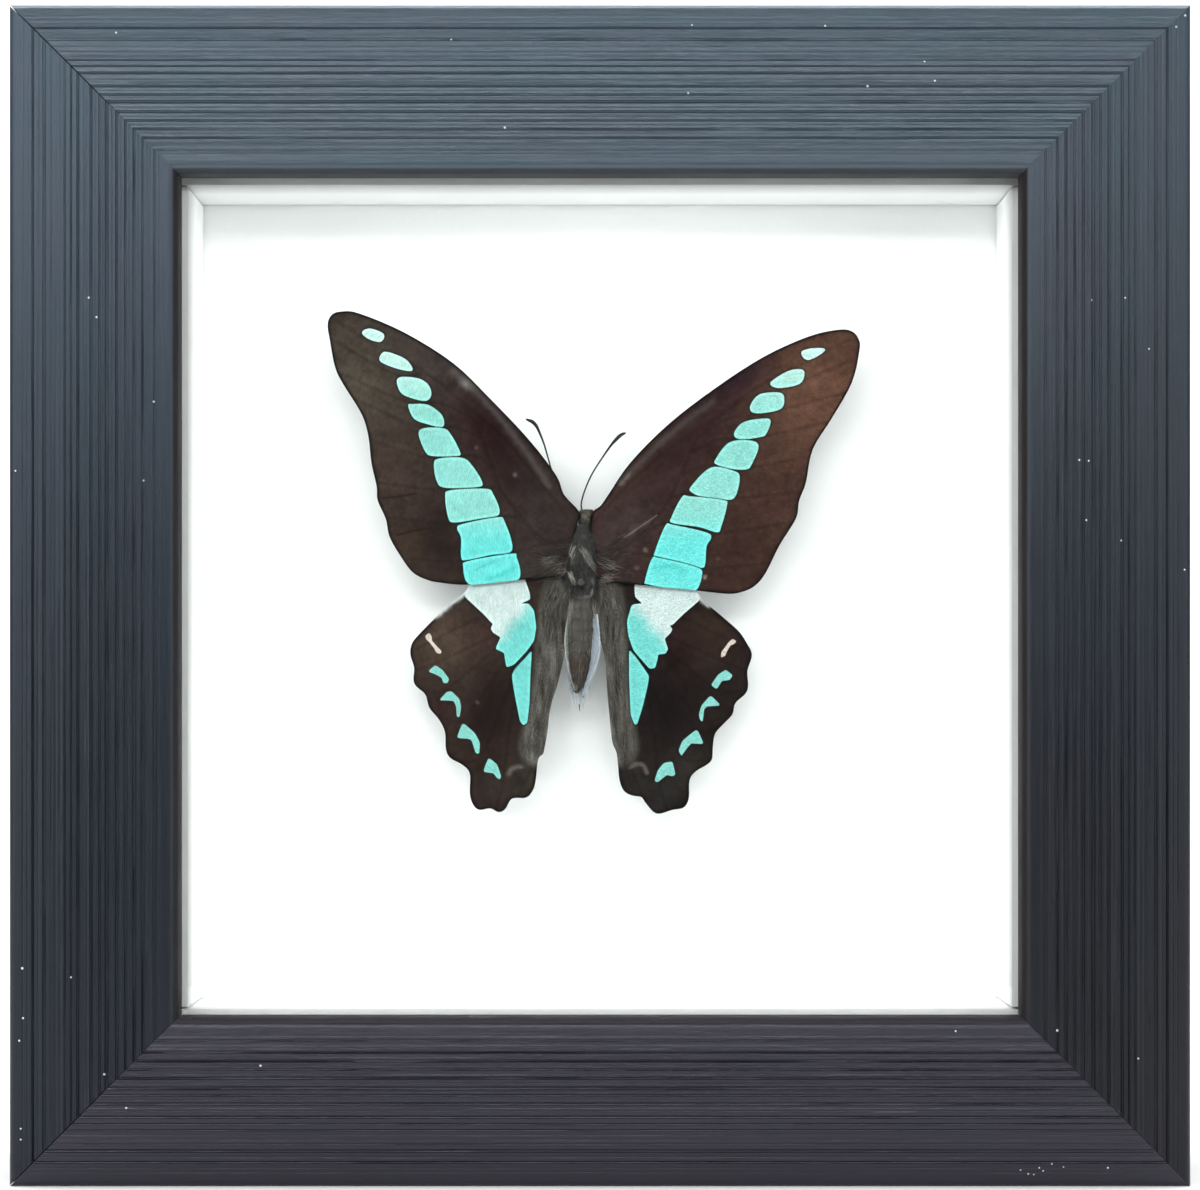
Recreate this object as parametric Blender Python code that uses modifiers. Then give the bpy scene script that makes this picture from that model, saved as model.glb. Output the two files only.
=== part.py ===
"""Framed butterfly specimen.

A spread swallowtail butterfly, pinned to a white board in a deep, square picture frame. The frame has four
mitred rails with a combed face, a glass front, white spacers round the inside, a mount board, a hardboard
back held by bent steel tabs, a sawtooth hanger and two wall bumpers.

Units are metres. +Z is up and the glass faces -Y. The origin is on the ground, under the middle of the
whole object's box. Depths are counted from the frame's front face towards the wall (+Y).
"""

import math

import bmesh
import bpy
from mathutils import Matrix, Vector

MM = 0.001

# ---------------------------------------------------------------- driving dimensions

FRAME_SIDE = 152 * MM
FRAME_DEPTH = 34 * MM
GAP = 0.3 * MM  # clearance left between pieces that touch

# The moulding's section: distance in from the outer edge, and depth behind the face
RAIL_WIDTH = 21.8 * MM
OUTER_ROUND = 1.0 * MM
CROWN_TOP = 13.0 * MM  # the face is highest this far in, and falls away as a parabola
CROWN_FALL = 1.4 * MM  # its fall at the outer edge
LIP_ROUND = 1.5 * MM
LIP_DEPTH = 5.0 * MM
RABBET_START = 17.3 * MM  # outer edge to the rabbet's side wall
ROUND_STEPS = 4

# Combed grooves in the face, in mm: (distance in from the outer edge, width, depth)
GROOVES = [
    (3.2, 0.35, 0.38), (4.7, 0.45, 0.30), (7.4, 0.30, 0.22), (8.2, 0.30, 0.26), (9.1, 0.40, 0.36),
    (10.8, 0.40, 0.34), (11.9, 0.35, 0.28), (12.8, 0.50, 0.40), (14.1, 0.40, 0.37),
    (15.2, 0.35, 0.27), (16.3, 0.40, 0.33), (17.4, 0.35, 0.29), (18.9, 0.30, 0.20),
]
RIDGE_DROPS = [0.02 * MM, 0.07 * MM, 0.0, 0.05 * MM]  # the ridges between them are uneven

# What the rabbet holds, from the front
GLASS_THICKNESS = 2.0 * MM
SPACER_DEPTH = 16.0 * MM
SPACER_INNER = 22.3 * MM  # outer edge of the frame to the spacers' inner faces
MOUNT_BOARD_THICKNESS = 4.0 * MM
BACK_BOARD_THICKNESS = 2.5 * MM

# Bent steel tabs, two to a rail, each with its tail in a slit in the rabbet's wall
TAB_THICKNESS = 0.5 * MM
TAB_WIDTH = 8.0 * MM
TAB_TAIL = 3.6 * MM
TAB_REACH = 8.5 * MM
TAB_PLACES = [-28 * MM, 28 * MM]

# Sawtooth hanger on the back of the top rail
HANGER_LENGTH = 44 * MM
HANGER_HEIGHT = 8.4 * MM
HANGER_THICKNESS = 0.8 * MM
HANGER_LIFT = 1.2 * MM  # how far its toothed middle is raised off the rail
HANGER_RAISED_HALF = 15.5 * MM
HANGER_FLAT_FROM = 17.5 * MM
TOOTH_PITCH = 2.2 * MM
TOOTH_HEIGHT = 1.3 * MM
TOOTH_COUNT = 12
NAIL_PLACE = 19.6 * MM
NAIL_RADIUS = 0.6 * MM
NAIL_LENGTH = 9.0 * MM
NAIL_HEAD_RADIUS = 1.5 * MM
NAIL_HEAD_HEIGHT = 0.6 * MM

# Rubber wall bumpers near the bottom corners
BUMPER_RADIUS = 4.5 * MM
BUMPER_HEIGHT = 2.2 * MM
BUMPER_PLACE = 8.6 * MM  # from both outer edges

# Where the insect sits: its thorax, from the middle of the frame, and its layers' depths
THORAX_X = -2.5 * MM
THORAX_RISE = 3.0 * MM
FOREWING_DEPTH = 15.0 * MM
HINDWING_DEPTH = 15.8 * MM
ANTENNA_DEPTH = 15.7 * MM
BODY_DEPTH = 16.0 * MM
WING_THICKNESS = 0.4 * MM
BODY_TILT = math.radians(2.2)  # the head leans to +X
BODY_FLATTEN = 0.9  # front-to-back size over width
ANTENNA_RADIUS = 0.14 * MM

# Insect pin, along Y through the thorax
PIN_RISE = -0.8 * MM  # from the thorax's centre
PIN_RADIUS = 0.25 * MM
PIN_HEAD_RADIUS = 0.6 * MM
PIN_TOP_DEPTH = 11.9 * MM
PIN_TIP_IN_BOARD = 2.6 * MM

# Derived places
TOTAL_DEPTH = FRAME_DEPTH + GAP + BUMPER_HEIGHT
FACE_Y = -TOTAL_DEPTH / 2
CENTRE_Z = FRAME_SIDE / 2
THORAX_Z = CENTRE_Z + THORAX_RISE
RABBET_HALF = FRAME_SIDE / 2 - RABBET_START
PANEL_HALF = RABBET_HALF - GAP
SPACER_FACE = FRAME_SIDE / 2 - SPACER_INNER
GLASS_DEPTH = LIP_DEPTH + GAP
SPACER_START = GLASS_DEPTH + GLASS_THICKNESS + GAP
BOARD_START = SPACER_START + SPACER_DEPTH + GAP
BACK_START = BOARD_START + MOUNT_BOARD_THICKNESS + GAP
TAB_START = BACK_START + BACK_BOARD_THICKNESS + GAP
MITRE_SETBACK = GAP / math.sqrt(2)  # each end steps back this far, for GAP across the joint

# ---------------------------------------------------------------- the insect's outlines
# Millimetres from the thorax's centre, x to the right and z up, in the plane of the spread wings.
# Each runs from the root along the front edge, round the tip and back along the hind edge.

FOREWING_LEFT = [
    (-2.7, 7.0), (-2.3, 10.9), (-3.3, 13.4), (-6.9, 18.1), (-12.0, 23.5), (-17.0, 28.3),
    (-23.4, 32.3), (-29.3, 34.8), (-31.6, 35.1), (-33.0, 34.7), (-33.6, 33.4), (-33.3, 31.3),
    (-32.6, 27.7), (-31.5, 25.4), (-29.1, 21.5), (-28.2, 18.5), (-27.8, 15.0), (-27.1, 11.9),
    (-27.0, 10.1), (-25.9, 7.6), (-25.4, 5.2), (-23.7, 2.3), (-22.3, 0.5), (-20.6, -0.4),
    (-18.9, -0.8), (-15.0, -1.1), (-8.6, -0.5), (-2.8, 0.0),
]

FOREWING_RIGHT = [
    (2.8, 6.0), (2.6, 9.4), (3.7, 11.0), (6.6, 15.2), (11.7, 20.3), (17.7, 24.9), (24.2, 29.1),
    (30.2, 31.8), (34.3, 32.7), (36.0, 32.4), (36.8, 31.4), (36.9, 30.0), (35.9, 25.7),
    (33.2, 20.9), (30.7, 16.8), (29.8, 12.4), (28.9, 10.0), (28.5, 7.7), (26.3, 4.1), (24.5, 0.5),
    (23.1, -1.2), (21.5, -2.0), (19.3, -2.3), (13.9, -1.7), (8.8, -1.2), (2.9, -0.6),
]

HINDWING_LEFT = [
    (-2.8, 2.4), (-6.0, 3.4), (-11.0, 2.4), (-14.3, 0.1), (-15.6, -2.2), (-17.6, -3.7),
    (-21.3, -7.4), (-22.5, -8.9), (-22.7, -10.4), (-22.2, -12.1), (-22.3, -13.7), (-21.9, -14.6),
    (-20.7, -15.7), (-20.2, -17.4), (-18.9, -19.0), (-18.1, -20.7), (-18.0, -22.9),
    (-17.4, -24.1), (-15.8, -25.0), (-14.8, -26.2), (-14.8, -28.9), (-14.3, -30.4),
    (-13.5, -31.0), (-12.1, -30.8), (-11.0, -31.3), (-10.1, -30.9), (-9.2, -29.5), (-7.4, -29.4),
    (-6.6, -28.7), (-6.1, -27.4), (-5.8, -24.7), (-5.1, -22.7), (-4.5, -20.7), (-4.1, -17.4),
    (-3.5, -14.5), (-2.8, -11.2), (-2.6, -8.0), (-2.7, -3.0),
]

HINDWING_RIGHT = [
    (2.8, 1.8), (7.0, 2.8), (12.0, 1.6), (14.7, -0.6), (15.8, -2.8), (17.2, -4.0), (20.7, -7.0),
    (22.0, -8.8), (22.7, -10.4), (22.1, -12.5), (22.2, -14.5), (21.8, -15.6), (20.5, -16.8),
    (20.1, -18.3), (18.9, -19.6), (17.8, -20.9), (17.5, -22.7), (17.4, -24.2), (16.7, -25.0),
    (15.2, -25.9), (14.4, -27.1), (14.3, -29.5), (13.6, -30.7), (12.1, -31.0), (10.0, -31.5),
    (8.5, -30.0), (8.0, -29.3), (6.8, -29.1), (5.7, -28.5), (5.1, -27.1), (4.9, -25.1),
    (4.7, -23.4), (4.2, -22.2), (3.9, -20.1), (3.3, -14.5), (3.1, -11.2), (2.8, -8.0), (2.8, -3.0),
]

# Antennae: (x, z, thickness over the stalk's)
ANTENNA_LEFT = [
    (-0.9, 9.6, 1.0), (-1.9, 11.3, 1.0), (-3.5, 13.9, 1.0), (-4.3, 15.8, 1.0), (-5.0, 17.8, 1.1),
    (-5.6, 19.3, 1.4), (-6.0, 20.1, 1.9), (-6.5, 20.6, 1.9), (-7.0, 20.8, 1.4), (-7.4, 21.0, 1.1),
]
ANTENNA_RIGHT = [
    (0.0, 9.6, 1.0), (0.2, 10.6, 1.0), (0.6, 11.8, 1.0), (1.2, 13.2, 1.0), (2.0, 14.6, 1.0),
    (3.0, 16.1, 1.1), (3.9, 17.4, 1.3), (4.5, 18.1, 1.8), (5.1, 18.7, 1.9), (5.6, 19.0, 1.5),
    (6.0, 19.1, 1.1),
]

# Head, thorax and abdomen as one turned shape: (half width, height from the thorax's centre)
BODY_PROFILE = [
    (0.0, 9.0), (0.5, 8.9), (0.9, 8.5), (1.1, 8.0), (1.1, 7.4), (0.85, 6.7), (1.2, 6.1),
    (1.8, 5.2), (2.1, 4.0), (2.3, 2.0), (2.25, 0.0), (2.0, -1.6), (1.5, -2.8), (1.35, -3.4),
    (1.6, -4.2), (1.85, -6.0), (1.85, -8.5), (1.6, -11.0), (1.25, -13.2), (0.7, -14.9),
    (0.0, -15.6),
]

# ---------------------------------------------------------------- materials
# name: (colour, roughness, metallic)

MATERIALS = {
    "moulding": ((0.060, 0.066, 0.078), 0.42, 0.0),
    "glass": ((0.90, 0.95, 0.94), 0.03, 0.0),
    "spacer": ((0.86, 0.86, 0.84), 0.75, 0.0),
    "mount_board": ((0.90, 0.90, 0.90), 0.85, 0.0),
    "back_board": ((0.23, 0.14, 0.08), 0.80, 0.0),
    "tab_steel": ((0.55, 0.55, 0.55), 0.35, 1.0),
    "hanger_steel": ((0.60, 0.57, 0.48), 0.32, 1.0),
    "rubber": ((0.04, 0.04, 0.04), 0.70, 0.0),
    "pin": ((0.02, 0.02, 0.02), 0.20, 0.3),
    "body": ((0.05, 0.045, 0.04), 0.80, 0.0),
    "wing": ((0.045, 0.030, 0.024), 0.65, 0.0),
    "antenna": ((0.02, 0.02, 0.02), 0.50, 0.0),
}


def clear_scene():
    for obj in list(bpy.data.objects):
        bpy.data.objects.remove(obj, do_unlink=True)


def new_collection(name):
    collection = bpy.data.collections.new(name)
    bpy.context.scene.collection.children.link(collection)
    return collection


def make_materials():
    made = {}
    for name, (colour, roughness, metallic) in MATERIALS.items():
        material = bpy.data.materials.new(name)
        material.use_nodes = True
        shader = material.node_tree.nodes["Principled BSDF"]
        shader.inputs["Base Color"].default_value = (*colour, 1.0)
        shader.inputs["Roughness"].default_value = roughness
        shader.inputs["Metallic"].default_value = metallic
        made[name] = material
    return made


clear_scene()
PARTS = new_collection("framed_butterfly_specimen")
CUTTERS = new_collection("cutters")
MADE = make_materials()

# ---------------------------------------------------------------- shape helpers

# Turns a drawing in the XY plane to stand in the frame's plane: its y becomes up, its z faces -Y
UPRIGHT = Matrix.Rotation(math.radians(90), 4, "X")


def place(x, depth, z):
    """A point by its x, its depth behind the frame's face and its height."""
    return Vector((x, FACE_Y + depth, z))


def add_part(name, data, material, matrix=None):
    obj = bpy.data.objects.new(name, data)
    PARTS.objects.link(obj)
    data.materials.clear()
    data.materials.append(MADE[material])
    obj.matrix_world = matrix or Matrix.Identity(4)
    return obj


def add_cutter(name, mesh, matrix):
    obj = bpy.data.objects.new(name, mesh)
    CUTTERS.objects.link(obj)
    obj.matrix_world = matrix
    obj.hide_render = True
    obj.display_type = "WIRE"
    return obj


def cut(obj, cutter):
    modifier = obj.modifiers.new(cutter.name, "BOOLEAN")
    modifier.operation = "DIFFERENCE"
    modifier.solver = "EXACT"
    modifier.object = cutter


def box_mesh(name, low, high):
    """A box between two corners."""
    bm = bmesh.new()
    bmesh.ops.create_cube(bm, size=1.0)
    size = Vector(high) - Vector(low)
    middle = (Vector(high) + Vector(low)) / 2
    bmesh.ops.scale(bm, vec=size, verts=bm.verts)
    bmesh.ops.translate(bm, vec=middle, verts=bm.verts)
    mesh = bpy.data.meshes.new(name)
    bm.to_mesh(mesh)
    bm.free()
    return mesh


def rod_mesh(name, radius, length, sides):
    """A closed cylinder along local Z, from 0 to length."""
    bm = bmesh.new()
    bmesh.ops.create_cone(
        bm, cap_ends=True, segments=sides, radius1=radius, radius2=radius, depth=length
    )
    bmesh.ops.translate(bm, vec=(0, 0, length / 2), verts=bm.verts)
    mesh = bpy.data.meshes.new(name)
    bm.to_mesh(mesh)
    bm.free()
    return mesh


def plate_curve(name, loops, thickness):
    """A flat plate drawn in the XY plane. Loops after the first are holes in it."""
    curve = bpy.data.curves.new(name, "CURVE")
    curve.dimensions = "2D"
    curve.fill_mode = "BOTH"
    curve.extrude = thickness / 2
    for loop in loops:
        spline = curve.splines.new("POLY")
        spline.points.add(len(loop) - 1)
        for point, (x, y) in zip(spline.points, loop):
            point.co = (x, y, 0.0, 1.0)
        spline.use_cyclic_u = True
    return curve


def curve_to_mesh(curve, name):
    """The welded mesh of a curve, for a piece that is cut or bent afterwards."""
    guide = bpy.data.objects.new("guide", curve)
    CUTTERS.objects.link(guide)
    bpy.context.view_layer.update()
    evaluated = guide.evaluated_get(bpy.context.evaluated_depsgraph_get())
    mesh = bpy.data.meshes.new_from_object(evaluated)
    mesh.name = name
    bpy.data.objects.remove(guide, do_unlink=True)
    bm = bmesh.new()
    bm.from_mesh(mesh)
    bmesh.ops.remove_doubles(bm, verts=bm.verts, dist=0.001 * MM)
    bmesh.ops.recalc_face_normals(bm, faces=bm.faces)
    bm.to_mesh(mesh)
    bm.free()
    return mesh


def arc(centre_x, centre_y, radius, start_deg, end_deg, steps):
    """Points along an arc, both ends included."""
    points = []
    for i in range(steps + 1):
        angle = math.radians(start_deg + (end_deg - start_deg) * i / steps)
        points.append((centre_x + radius * math.cos(angle), centre_y + radius * math.sin(angle)))
    return points


def smooth_loop(points, steps):
    """A closed smooth curve through the points, steps pieces between each two of them."""
    count = len(points)
    loop = []
    for i in range(count):
        before, start, end, after = (points[(i + k) % count] for k in (-1, 0, 1, 2))
        for step in range(steps):
            t = step / steps
            loop.append(tuple(catmull_rom(*axis, t) for axis in zip(before, start, end, after)))
    return loop


def catmull_rom(before, start, end, after, t):
    """One coordinate of a smooth curve between start and end."""
    slope_in = (end - before) / 2
    slope_out = (after - start) / 2
    rise = end - start
    return (
        start
        + slope_in * t
        + (3 * rise - 2 * slope_in - slope_out) * t**2
        + (slope_in + slope_out - 2 * rise) * t**3
    )


def turned_mesh(name, profile):
    """A profile of (radius, height), top to bottom, as open edges for a Screw modifier."""
    mesh = bpy.data.meshes.new(name)
    vertices = [(radius, 0.0, height) for radius, height in profile]
    edges = [(i, i + 1) for i in range(len(profile) - 1)]
    mesh.from_pydata(vertices, edges, [])
    return mesh


def add_screw(obj, sides):
    """Turns the object's profile round its local Z axis."""
    modifier = obj.modifiers.new("turn", "SCREW")
    modifier.axis = "Z"
    modifier.angle = math.radians(360)
    modifier.steps = sides
    modifier.render_steps = sides
    modifier.use_merge_vertices = True
    modifier.merge_threshold = 0.01 * MM
    modifier.use_smooth_shade = True


# ---------------------------------------------------------------- frame


def face_depth(width):
    """How far the moulding's face lies behind its front, at a distance in from the outer edge."""
    return CROWN_FALL * ((CROWN_TOP - width) / CROWN_TOP) ** 2


def rail_section():
    """The moulding's section, clockwise from its outer back corner: (distance in, depth)."""
    edge_depth = face_depth(OUTER_ROUND)
    section = [(0.0, FRAME_DEPTH)]
    section += arc(OUTER_ROUND, edge_depth + OUTER_ROUND, OUTER_ROUND, 180, 270, ROUND_STEPS)
    for i, (middle, width, depth) in enumerate(GROOVES):
        ridge = RIDGE_DROPS[i % len(RIDGE_DROPS)]
        next_ridge = RIDGE_DROPS[(i + 1) % len(RIDGE_DROPS)]
        for offset, drop in ((-0.5, ridge), (-0.2, depth * MM), (0.2, depth * MM), (0.5, next_ridge)):
            distance = (middle + offset * width) * MM
            section.append((distance, face_depth(distance) + drop))
    lip_top = face_depth(RAIL_WIDTH - LIP_ROUND)
    section += arc(RAIL_WIDTH - LIP_ROUND, lip_top + LIP_ROUND, LIP_ROUND, 270, 360, ROUND_STEPS)
    section += [
        (RAIL_WIDTH, LIP_DEPTH),
        (RABBET_START, LIP_DEPTH),
        (RABBET_START, FRAME_DEPTH),
    ]
    return section


def mitred_rail_mesh():
    """One rail with 45 degree ends: x is the distance in, y the depth, z runs along the rail."""
    mesh = curve_to_mesh(plate_curve("rail", [rail_section()], FRAME_SIDE), "rail")
    for vertex in mesh.vertices:
        half_length = FRAME_SIDE / 2 - vertex.co.x - MITRE_SETBACK
        vertex.co.z = math.copysign(half_length, vertex.co.z)
    return mesh


def side_matrix(quarter_turns):
    """From a rail's own axes to its side of the frame: 0 bottom, 1 left, 2 top, 3 right."""
    centre = Matrix.Translation(place(0, 0, CENTRE_Z))
    turn = Matrix.Rotation(math.radians(90) * quarter_turns, 4, "Y")
    drop = Matrix.Translation((0, 0, -FRAME_SIDE / 2))
    lie_down = Matrix.Rotation(math.radians(-90), 4, "Y")
    return centre @ turn @ drop @ lie_down


SIDES = {"rail_bottom": 0, "rail_left": 1, "rail_top": 2, "rail_right": 3}


def add_rails():
    rails = {}
    for name, quarter_turns in SIDES.items():
        rails[name] = add_part(name, mitred_rail_mesh(), "moulding", side_matrix(quarter_turns))
    return rails


def tab_outline():
    """A tab's outline, its tail at low x in the slit and its round end over the back board."""
    radius = TAB_WIDTH / 2
    end_x = RABBET_START + TAB_REACH - radius
    tail_x = RABBET_START - TAB_TAIL
    return [(tail_x, radius), (tail_x, -radius)] + arc(end_x, 0, radius, -90, 90, 8)


def add_tabs(rails):
    """Two bent tabs to a rail, and the slits that hold their tails."""
    number = 1
    middle_depth = TAB_START + TAB_THICKNESS / 2
    for name, quarter_turns in SIDES.items():
        for place_along in TAB_PLACES:
            matrix = side_matrix(quarter_turns) @ Matrix.Translation((0, middle_depth, place_along))
            tab = plate_curve(f"retainer_tab_{number}", [tab_outline()], TAB_THICKNESS)
            add_part(f"retainer_tab_{number}", tab, "tab_steel", matrix @ UPRIGHT)
            half_width = TAB_WIDTH / 2 + GAP
            half_height = TAB_THICKNESS / 2 + GAP
            low = (RABBET_START - TAB_TAIL - GAP, -half_height, -half_width)
            high = (RABBET_START + 1 * MM, half_height, half_width)
            slit_name = f"tab_slit_{number}"
            cut(rails[name], add_cutter(slit_name, box_mesh(slit_name, low, high), matrix))
            number += 1


# ---------------------------------------------------------------- what the rabbet holds


def add_panel(name, start, thickness, material):
    low = place(-PANEL_HALF, start, CENTRE_Z - PANEL_HALF)
    high = place(PANEL_HALF, start + thickness, CENTRE_Z + PANEL_HALF)
    return add_part(name, box_mesh(name, low, high), material)


def add_spacers():
    """Long strips at the top and bottom, with the side strips between them."""
    side_half = SPACER_FACE - GAP
    spans = {
        "spacer_top": (-PANEL_HALF, PANEL_HALF, SPACER_FACE, PANEL_HALF),
        "spacer_bottom": (-PANEL_HALF, PANEL_HALF, -PANEL_HALF, -SPACER_FACE),
        "spacer_left": (-PANEL_HALF, -SPACER_FACE, -side_half, side_half),
        "spacer_right": (SPACER_FACE, PANEL_HALF, -side_half, side_half),
    }
    for name, (left, right, bottom, top) in spans.items():
        low = place(left, SPACER_START, CENTRE_Z + bottom)
        high = place(right, SPACER_START + SPACER_DEPTH, CENTRE_Z + top)
        add_part(name, box_mesh(name, low, high), "spacer")


# ---------------------------------------------------------------- hardware on the back


def hanger_outline():
    """A strip with teeth along the middle of its lower edge."""
    half_length = HANGER_LENGTH / 2
    half_height = HANGER_HEIGHT / 2
    corner = 1.2 * MM
    outline = arc(half_length - corner, half_height - corner, corner, 0, 90, 3)
    outline += arc(corner - half_length, half_height - corner, corner, 90, 180, 3)
    outline += arc(corner - half_length, corner - half_height, corner, 180, 270, 3)
    first_tooth = -TOOTH_COUNT * TOOTH_PITCH / 2
    for i in range(TOOTH_COUNT):
        outline.append((first_tooth + i * TOOTH_PITCH, -half_height))
        outline.append((first_tooth + (i + 0.5) * TOOTH_PITCH, TOOTH_HEIGHT - half_height))
    outline.append((-first_tooth, -half_height))
    outline += arc(half_length - corner, corner - half_height, corner, 270, 360, 3)
    return outline


def raise_middle(mesh):
    """Bends the strip outwards between its two nailed ends, along four straight folds."""
    bm = bmesh.new()
    bm.from_mesh(mesh)
    folds = (HANGER_RAISED_HALF, HANGER_FLAT_FROM, -HANGER_RAISED_HALF, -HANGER_FLAT_FROM)
    for fold in folds:
        geometry = bm.verts[:] + bm.edges[:] + bm.faces[:]
        bmesh.ops.bisect_plane(bm, geom=geometry, plane_co=(fold, 0, 0), plane_no=(1, 0, 0))
    for vertex in bm.verts:
        along = (HANGER_FLAT_FROM - abs(vertex.co.x)) / (HANGER_FLAT_FROM - HANGER_RAISED_HALF)
        vertex.co.z -= HANGER_LIFT * min(max(along, 0.0), 1.0)
    bm.to_mesh(mesh)
    bm.free()


def add_hanger(rail_top):
    """The hanger, its two nails and their holes in the rail."""
    height = FRAME_SIDE - RABBET_START / 2
    hole = NAIL_RADIUS + GAP
    loops = [hanger_outline()]
    for side in (-1, 1):
        loops.append(arc(side * NAIL_PLACE, 0, hole, 0, 330, 11))
    mesh = curve_to_mesh(plate_curve("hanger", loops, HANGER_THICKNESS), "sawtooth_hanger")
    raise_middle(mesh)
    middle = FRAME_DEPTH + GAP + HANGER_THICKNESS / 2
    matrix = Matrix.Translation(place(0, middle, height)) @ UPRIGHT
    add_part("sawtooth_hanger", mesh, "hanger_steel", matrix)
    into_rail = Matrix.Rotation(math.radians(-90), 4, "X")
    head_depth = FRAME_DEPTH + HANGER_THICKNESS + 2 * GAP
    for side_name, side in (("left", -1), ("right", 1)):
        name = f"hanger_nail_{side_name}"
        base = Matrix.Translation(place(side * NAIL_PLACE, head_depth, height)) @ into_rail
        nail = add_part(name, turned_mesh(name, nail_profile()), "hanger_steel", base)
        add_screw(nail, 16)
        depth = NAIL_LENGTH + GAP
        sink = base @ Matrix.Translation((0, 0, -depth))
        cutter = add_cutter(f"nail_hole_{side_name}", rod_mesh("nail_hole", hole, depth, 12), sink)
        cut(rail_top, cutter)


def nail_profile():
    """A round-headed nail, its head's underside at height 0."""
    return [
        (0.0, NAIL_HEAD_HEIGHT),
        (NAIL_HEAD_RADIUS * 0.6, NAIL_HEAD_HEIGHT * 0.8),
        (NAIL_HEAD_RADIUS * 0.95, NAIL_HEAD_HEIGHT * 0.35),
        (NAIL_HEAD_RADIUS, 0.0),
        (NAIL_RADIUS, 0.0),
        (NAIL_RADIUS, 1.5 * MM - NAIL_LENGTH),
        (0.0, -NAIL_LENGTH),
    ]


def add_bumpers():
    """Domed rubber dots that keep the frame off the wall."""
    profile = [
        (0.0, BUMPER_HEIGHT),
        (BUMPER_RADIUS * 0.5, BUMPER_HEIGHT),
        (BUMPER_RADIUS * 0.8, BUMPER_HEIGHT * 0.82),
        (BUMPER_RADIUS * 0.97, BUMPER_HEIGHT * 0.4),
        (BUMPER_RADIUS, 0.0),
        (0.0, 0.0),
    ]
    outwards = Matrix.Rotation(math.radians(-90), 4, "X")
    for side_name, side in (("left", -1), ("right", 1)):
        name = f"bumper_{side_name}"
        x = side * (FRAME_SIDE / 2 - BUMPER_PLACE)
        matrix = Matrix.Translation(place(x, FRAME_DEPTH + GAP, BUMPER_PLACE)) @ outwards
        bumper = add_part(name, turned_mesh(name, profile), "rubber", matrix)
        add_screw(bumper, 24)


# ---------------------------------------------------------------- the specimen


def add_wing(name, outline, depth):
    loop = [(x * MM, z * MM) for x, z in smooth_loop(outline, 2)]
    matrix = Matrix.Translation(place(THORAX_X, depth, THORAX_Z)) @ UPRIGHT
    add_part(name, plate_curve(name, [loop], WING_THICKNESS), "wing", matrix)


def add_antenna(name, points):
    """A stalk that swells into a hooked club."""
    curve = bpy.data.curves.new(name, "CURVE")
    curve.dimensions = "3D"
    curve.bevel_depth = ANTENNA_RADIUS
    curve.bevel_resolution = 1
    curve.use_fill_caps = True
    spline = curve.splines.new("POLY")
    spline.points.add(len(points) - 1)
    for point, (x, z, swell) in zip(spline.points, points):
        point.co = (x * MM, 0.0, z * MM, 1.0)
        point.radius = swell
    matrix = Matrix.Translation(place(THORAX_X, ANTENNA_DEPTH, THORAX_Z))
    add_part(name, curve, "antenna", matrix)


def add_body():
    profile = [(radius * MM, height * MM) for radius, height in BODY_PROFILE]
    matrix = (
        Matrix.Translation(place(THORAX_X, BODY_DEPTH, THORAX_Z))
        @ Matrix.Rotation(BODY_TILT, 4, "Y")
        @ Matrix.Diagonal((1.0, BODY_FLATTEN, 1.0, 1.0))
    )
    body = add_part("butterfly_body", turned_mesh("butterfly_body", profile), "body", matrix)
    add_screw(body, 16)
    return body


def pin_profile(length):
    """A pin with a ball head, the ball's top at height 0."""
    neck = PIN_HEAD_RADIUS * 0.4
    ball = []
    for height, radius in arc(-PIN_HEAD_RADIUS, 0, PIN_HEAD_RADIUS, 0, 150, 6):
        ball.append((radius, height))
    ball[0] = (0.0, 0.0)
    return ball[:-1] + [
        (neck, ball[-1][1]),
        (PIN_RADIUS, ball[-1][1] - 0.2 * MM),
        (PIN_RADIUS, 1.2 * MM - length),
        (0.0, -length),
    ]


def add_pin(body, board):
    """The pin through the thorax into the board, and its clearance holes in both."""
    length = BOARD_START + PIN_TIP_IN_BOARD - PIN_TOP_DEPTH
    towards_wall = Matrix.Rotation(math.radians(90), 4, "X")
    height = THORAX_Z + PIN_RISE
    top = Matrix.Translation(place(THORAX_X, PIN_TOP_DEPTH, height)) @ towards_wall
    pin = add_part("insect_pin", turned_mesh("insect_pin", pin_profile(length)), "pin", top)
    add_screw(pin, 12)
    hole_depth = length + GAP
    sink = top @ Matrix.Translation((0, 0, -hole_depth))
    hole = rod_mesh("pin_hole", PIN_RADIUS + GAP, hole_depth, 12)
    cutter = add_cutter("pin_hole", hole, sink)
    cut(body, cutter)
    cut(board, cutter)


# ---------------------------------------------------------------- assembly

all_rails = add_rails()
add_tabs(all_rails)
add_panel("glass_pane", GLASS_DEPTH, GLASS_THICKNESS, "glass")
add_spacers()
mount_board = add_panel("mount_board", BOARD_START, MOUNT_BOARD_THICKNESS, "mount_board")
add_panel("back_board", BACK_START, BACK_BOARD_THICKNESS, "back_board")
add_hanger(all_rails["rail_top"])
add_bumpers()

add_wing("forewing_left", FOREWING_LEFT, FOREWING_DEPTH)
add_wing("forewing_right", FOREWING_RIGHT, FOREWING_DEPTH)
add_wing("hindwing_left", HINDWING_LEFT, HINDWING_DEPTH)
add_wing("hindwing_right", HINDWING_RIGHT, HINDWING_DEPTH)
add_antenna("antenna_left", ANTENNA_LEFT)
add_antenna("antenna_right", ANTENNA_RIGHT)
add_pin(add_body(), mount_board)
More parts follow.
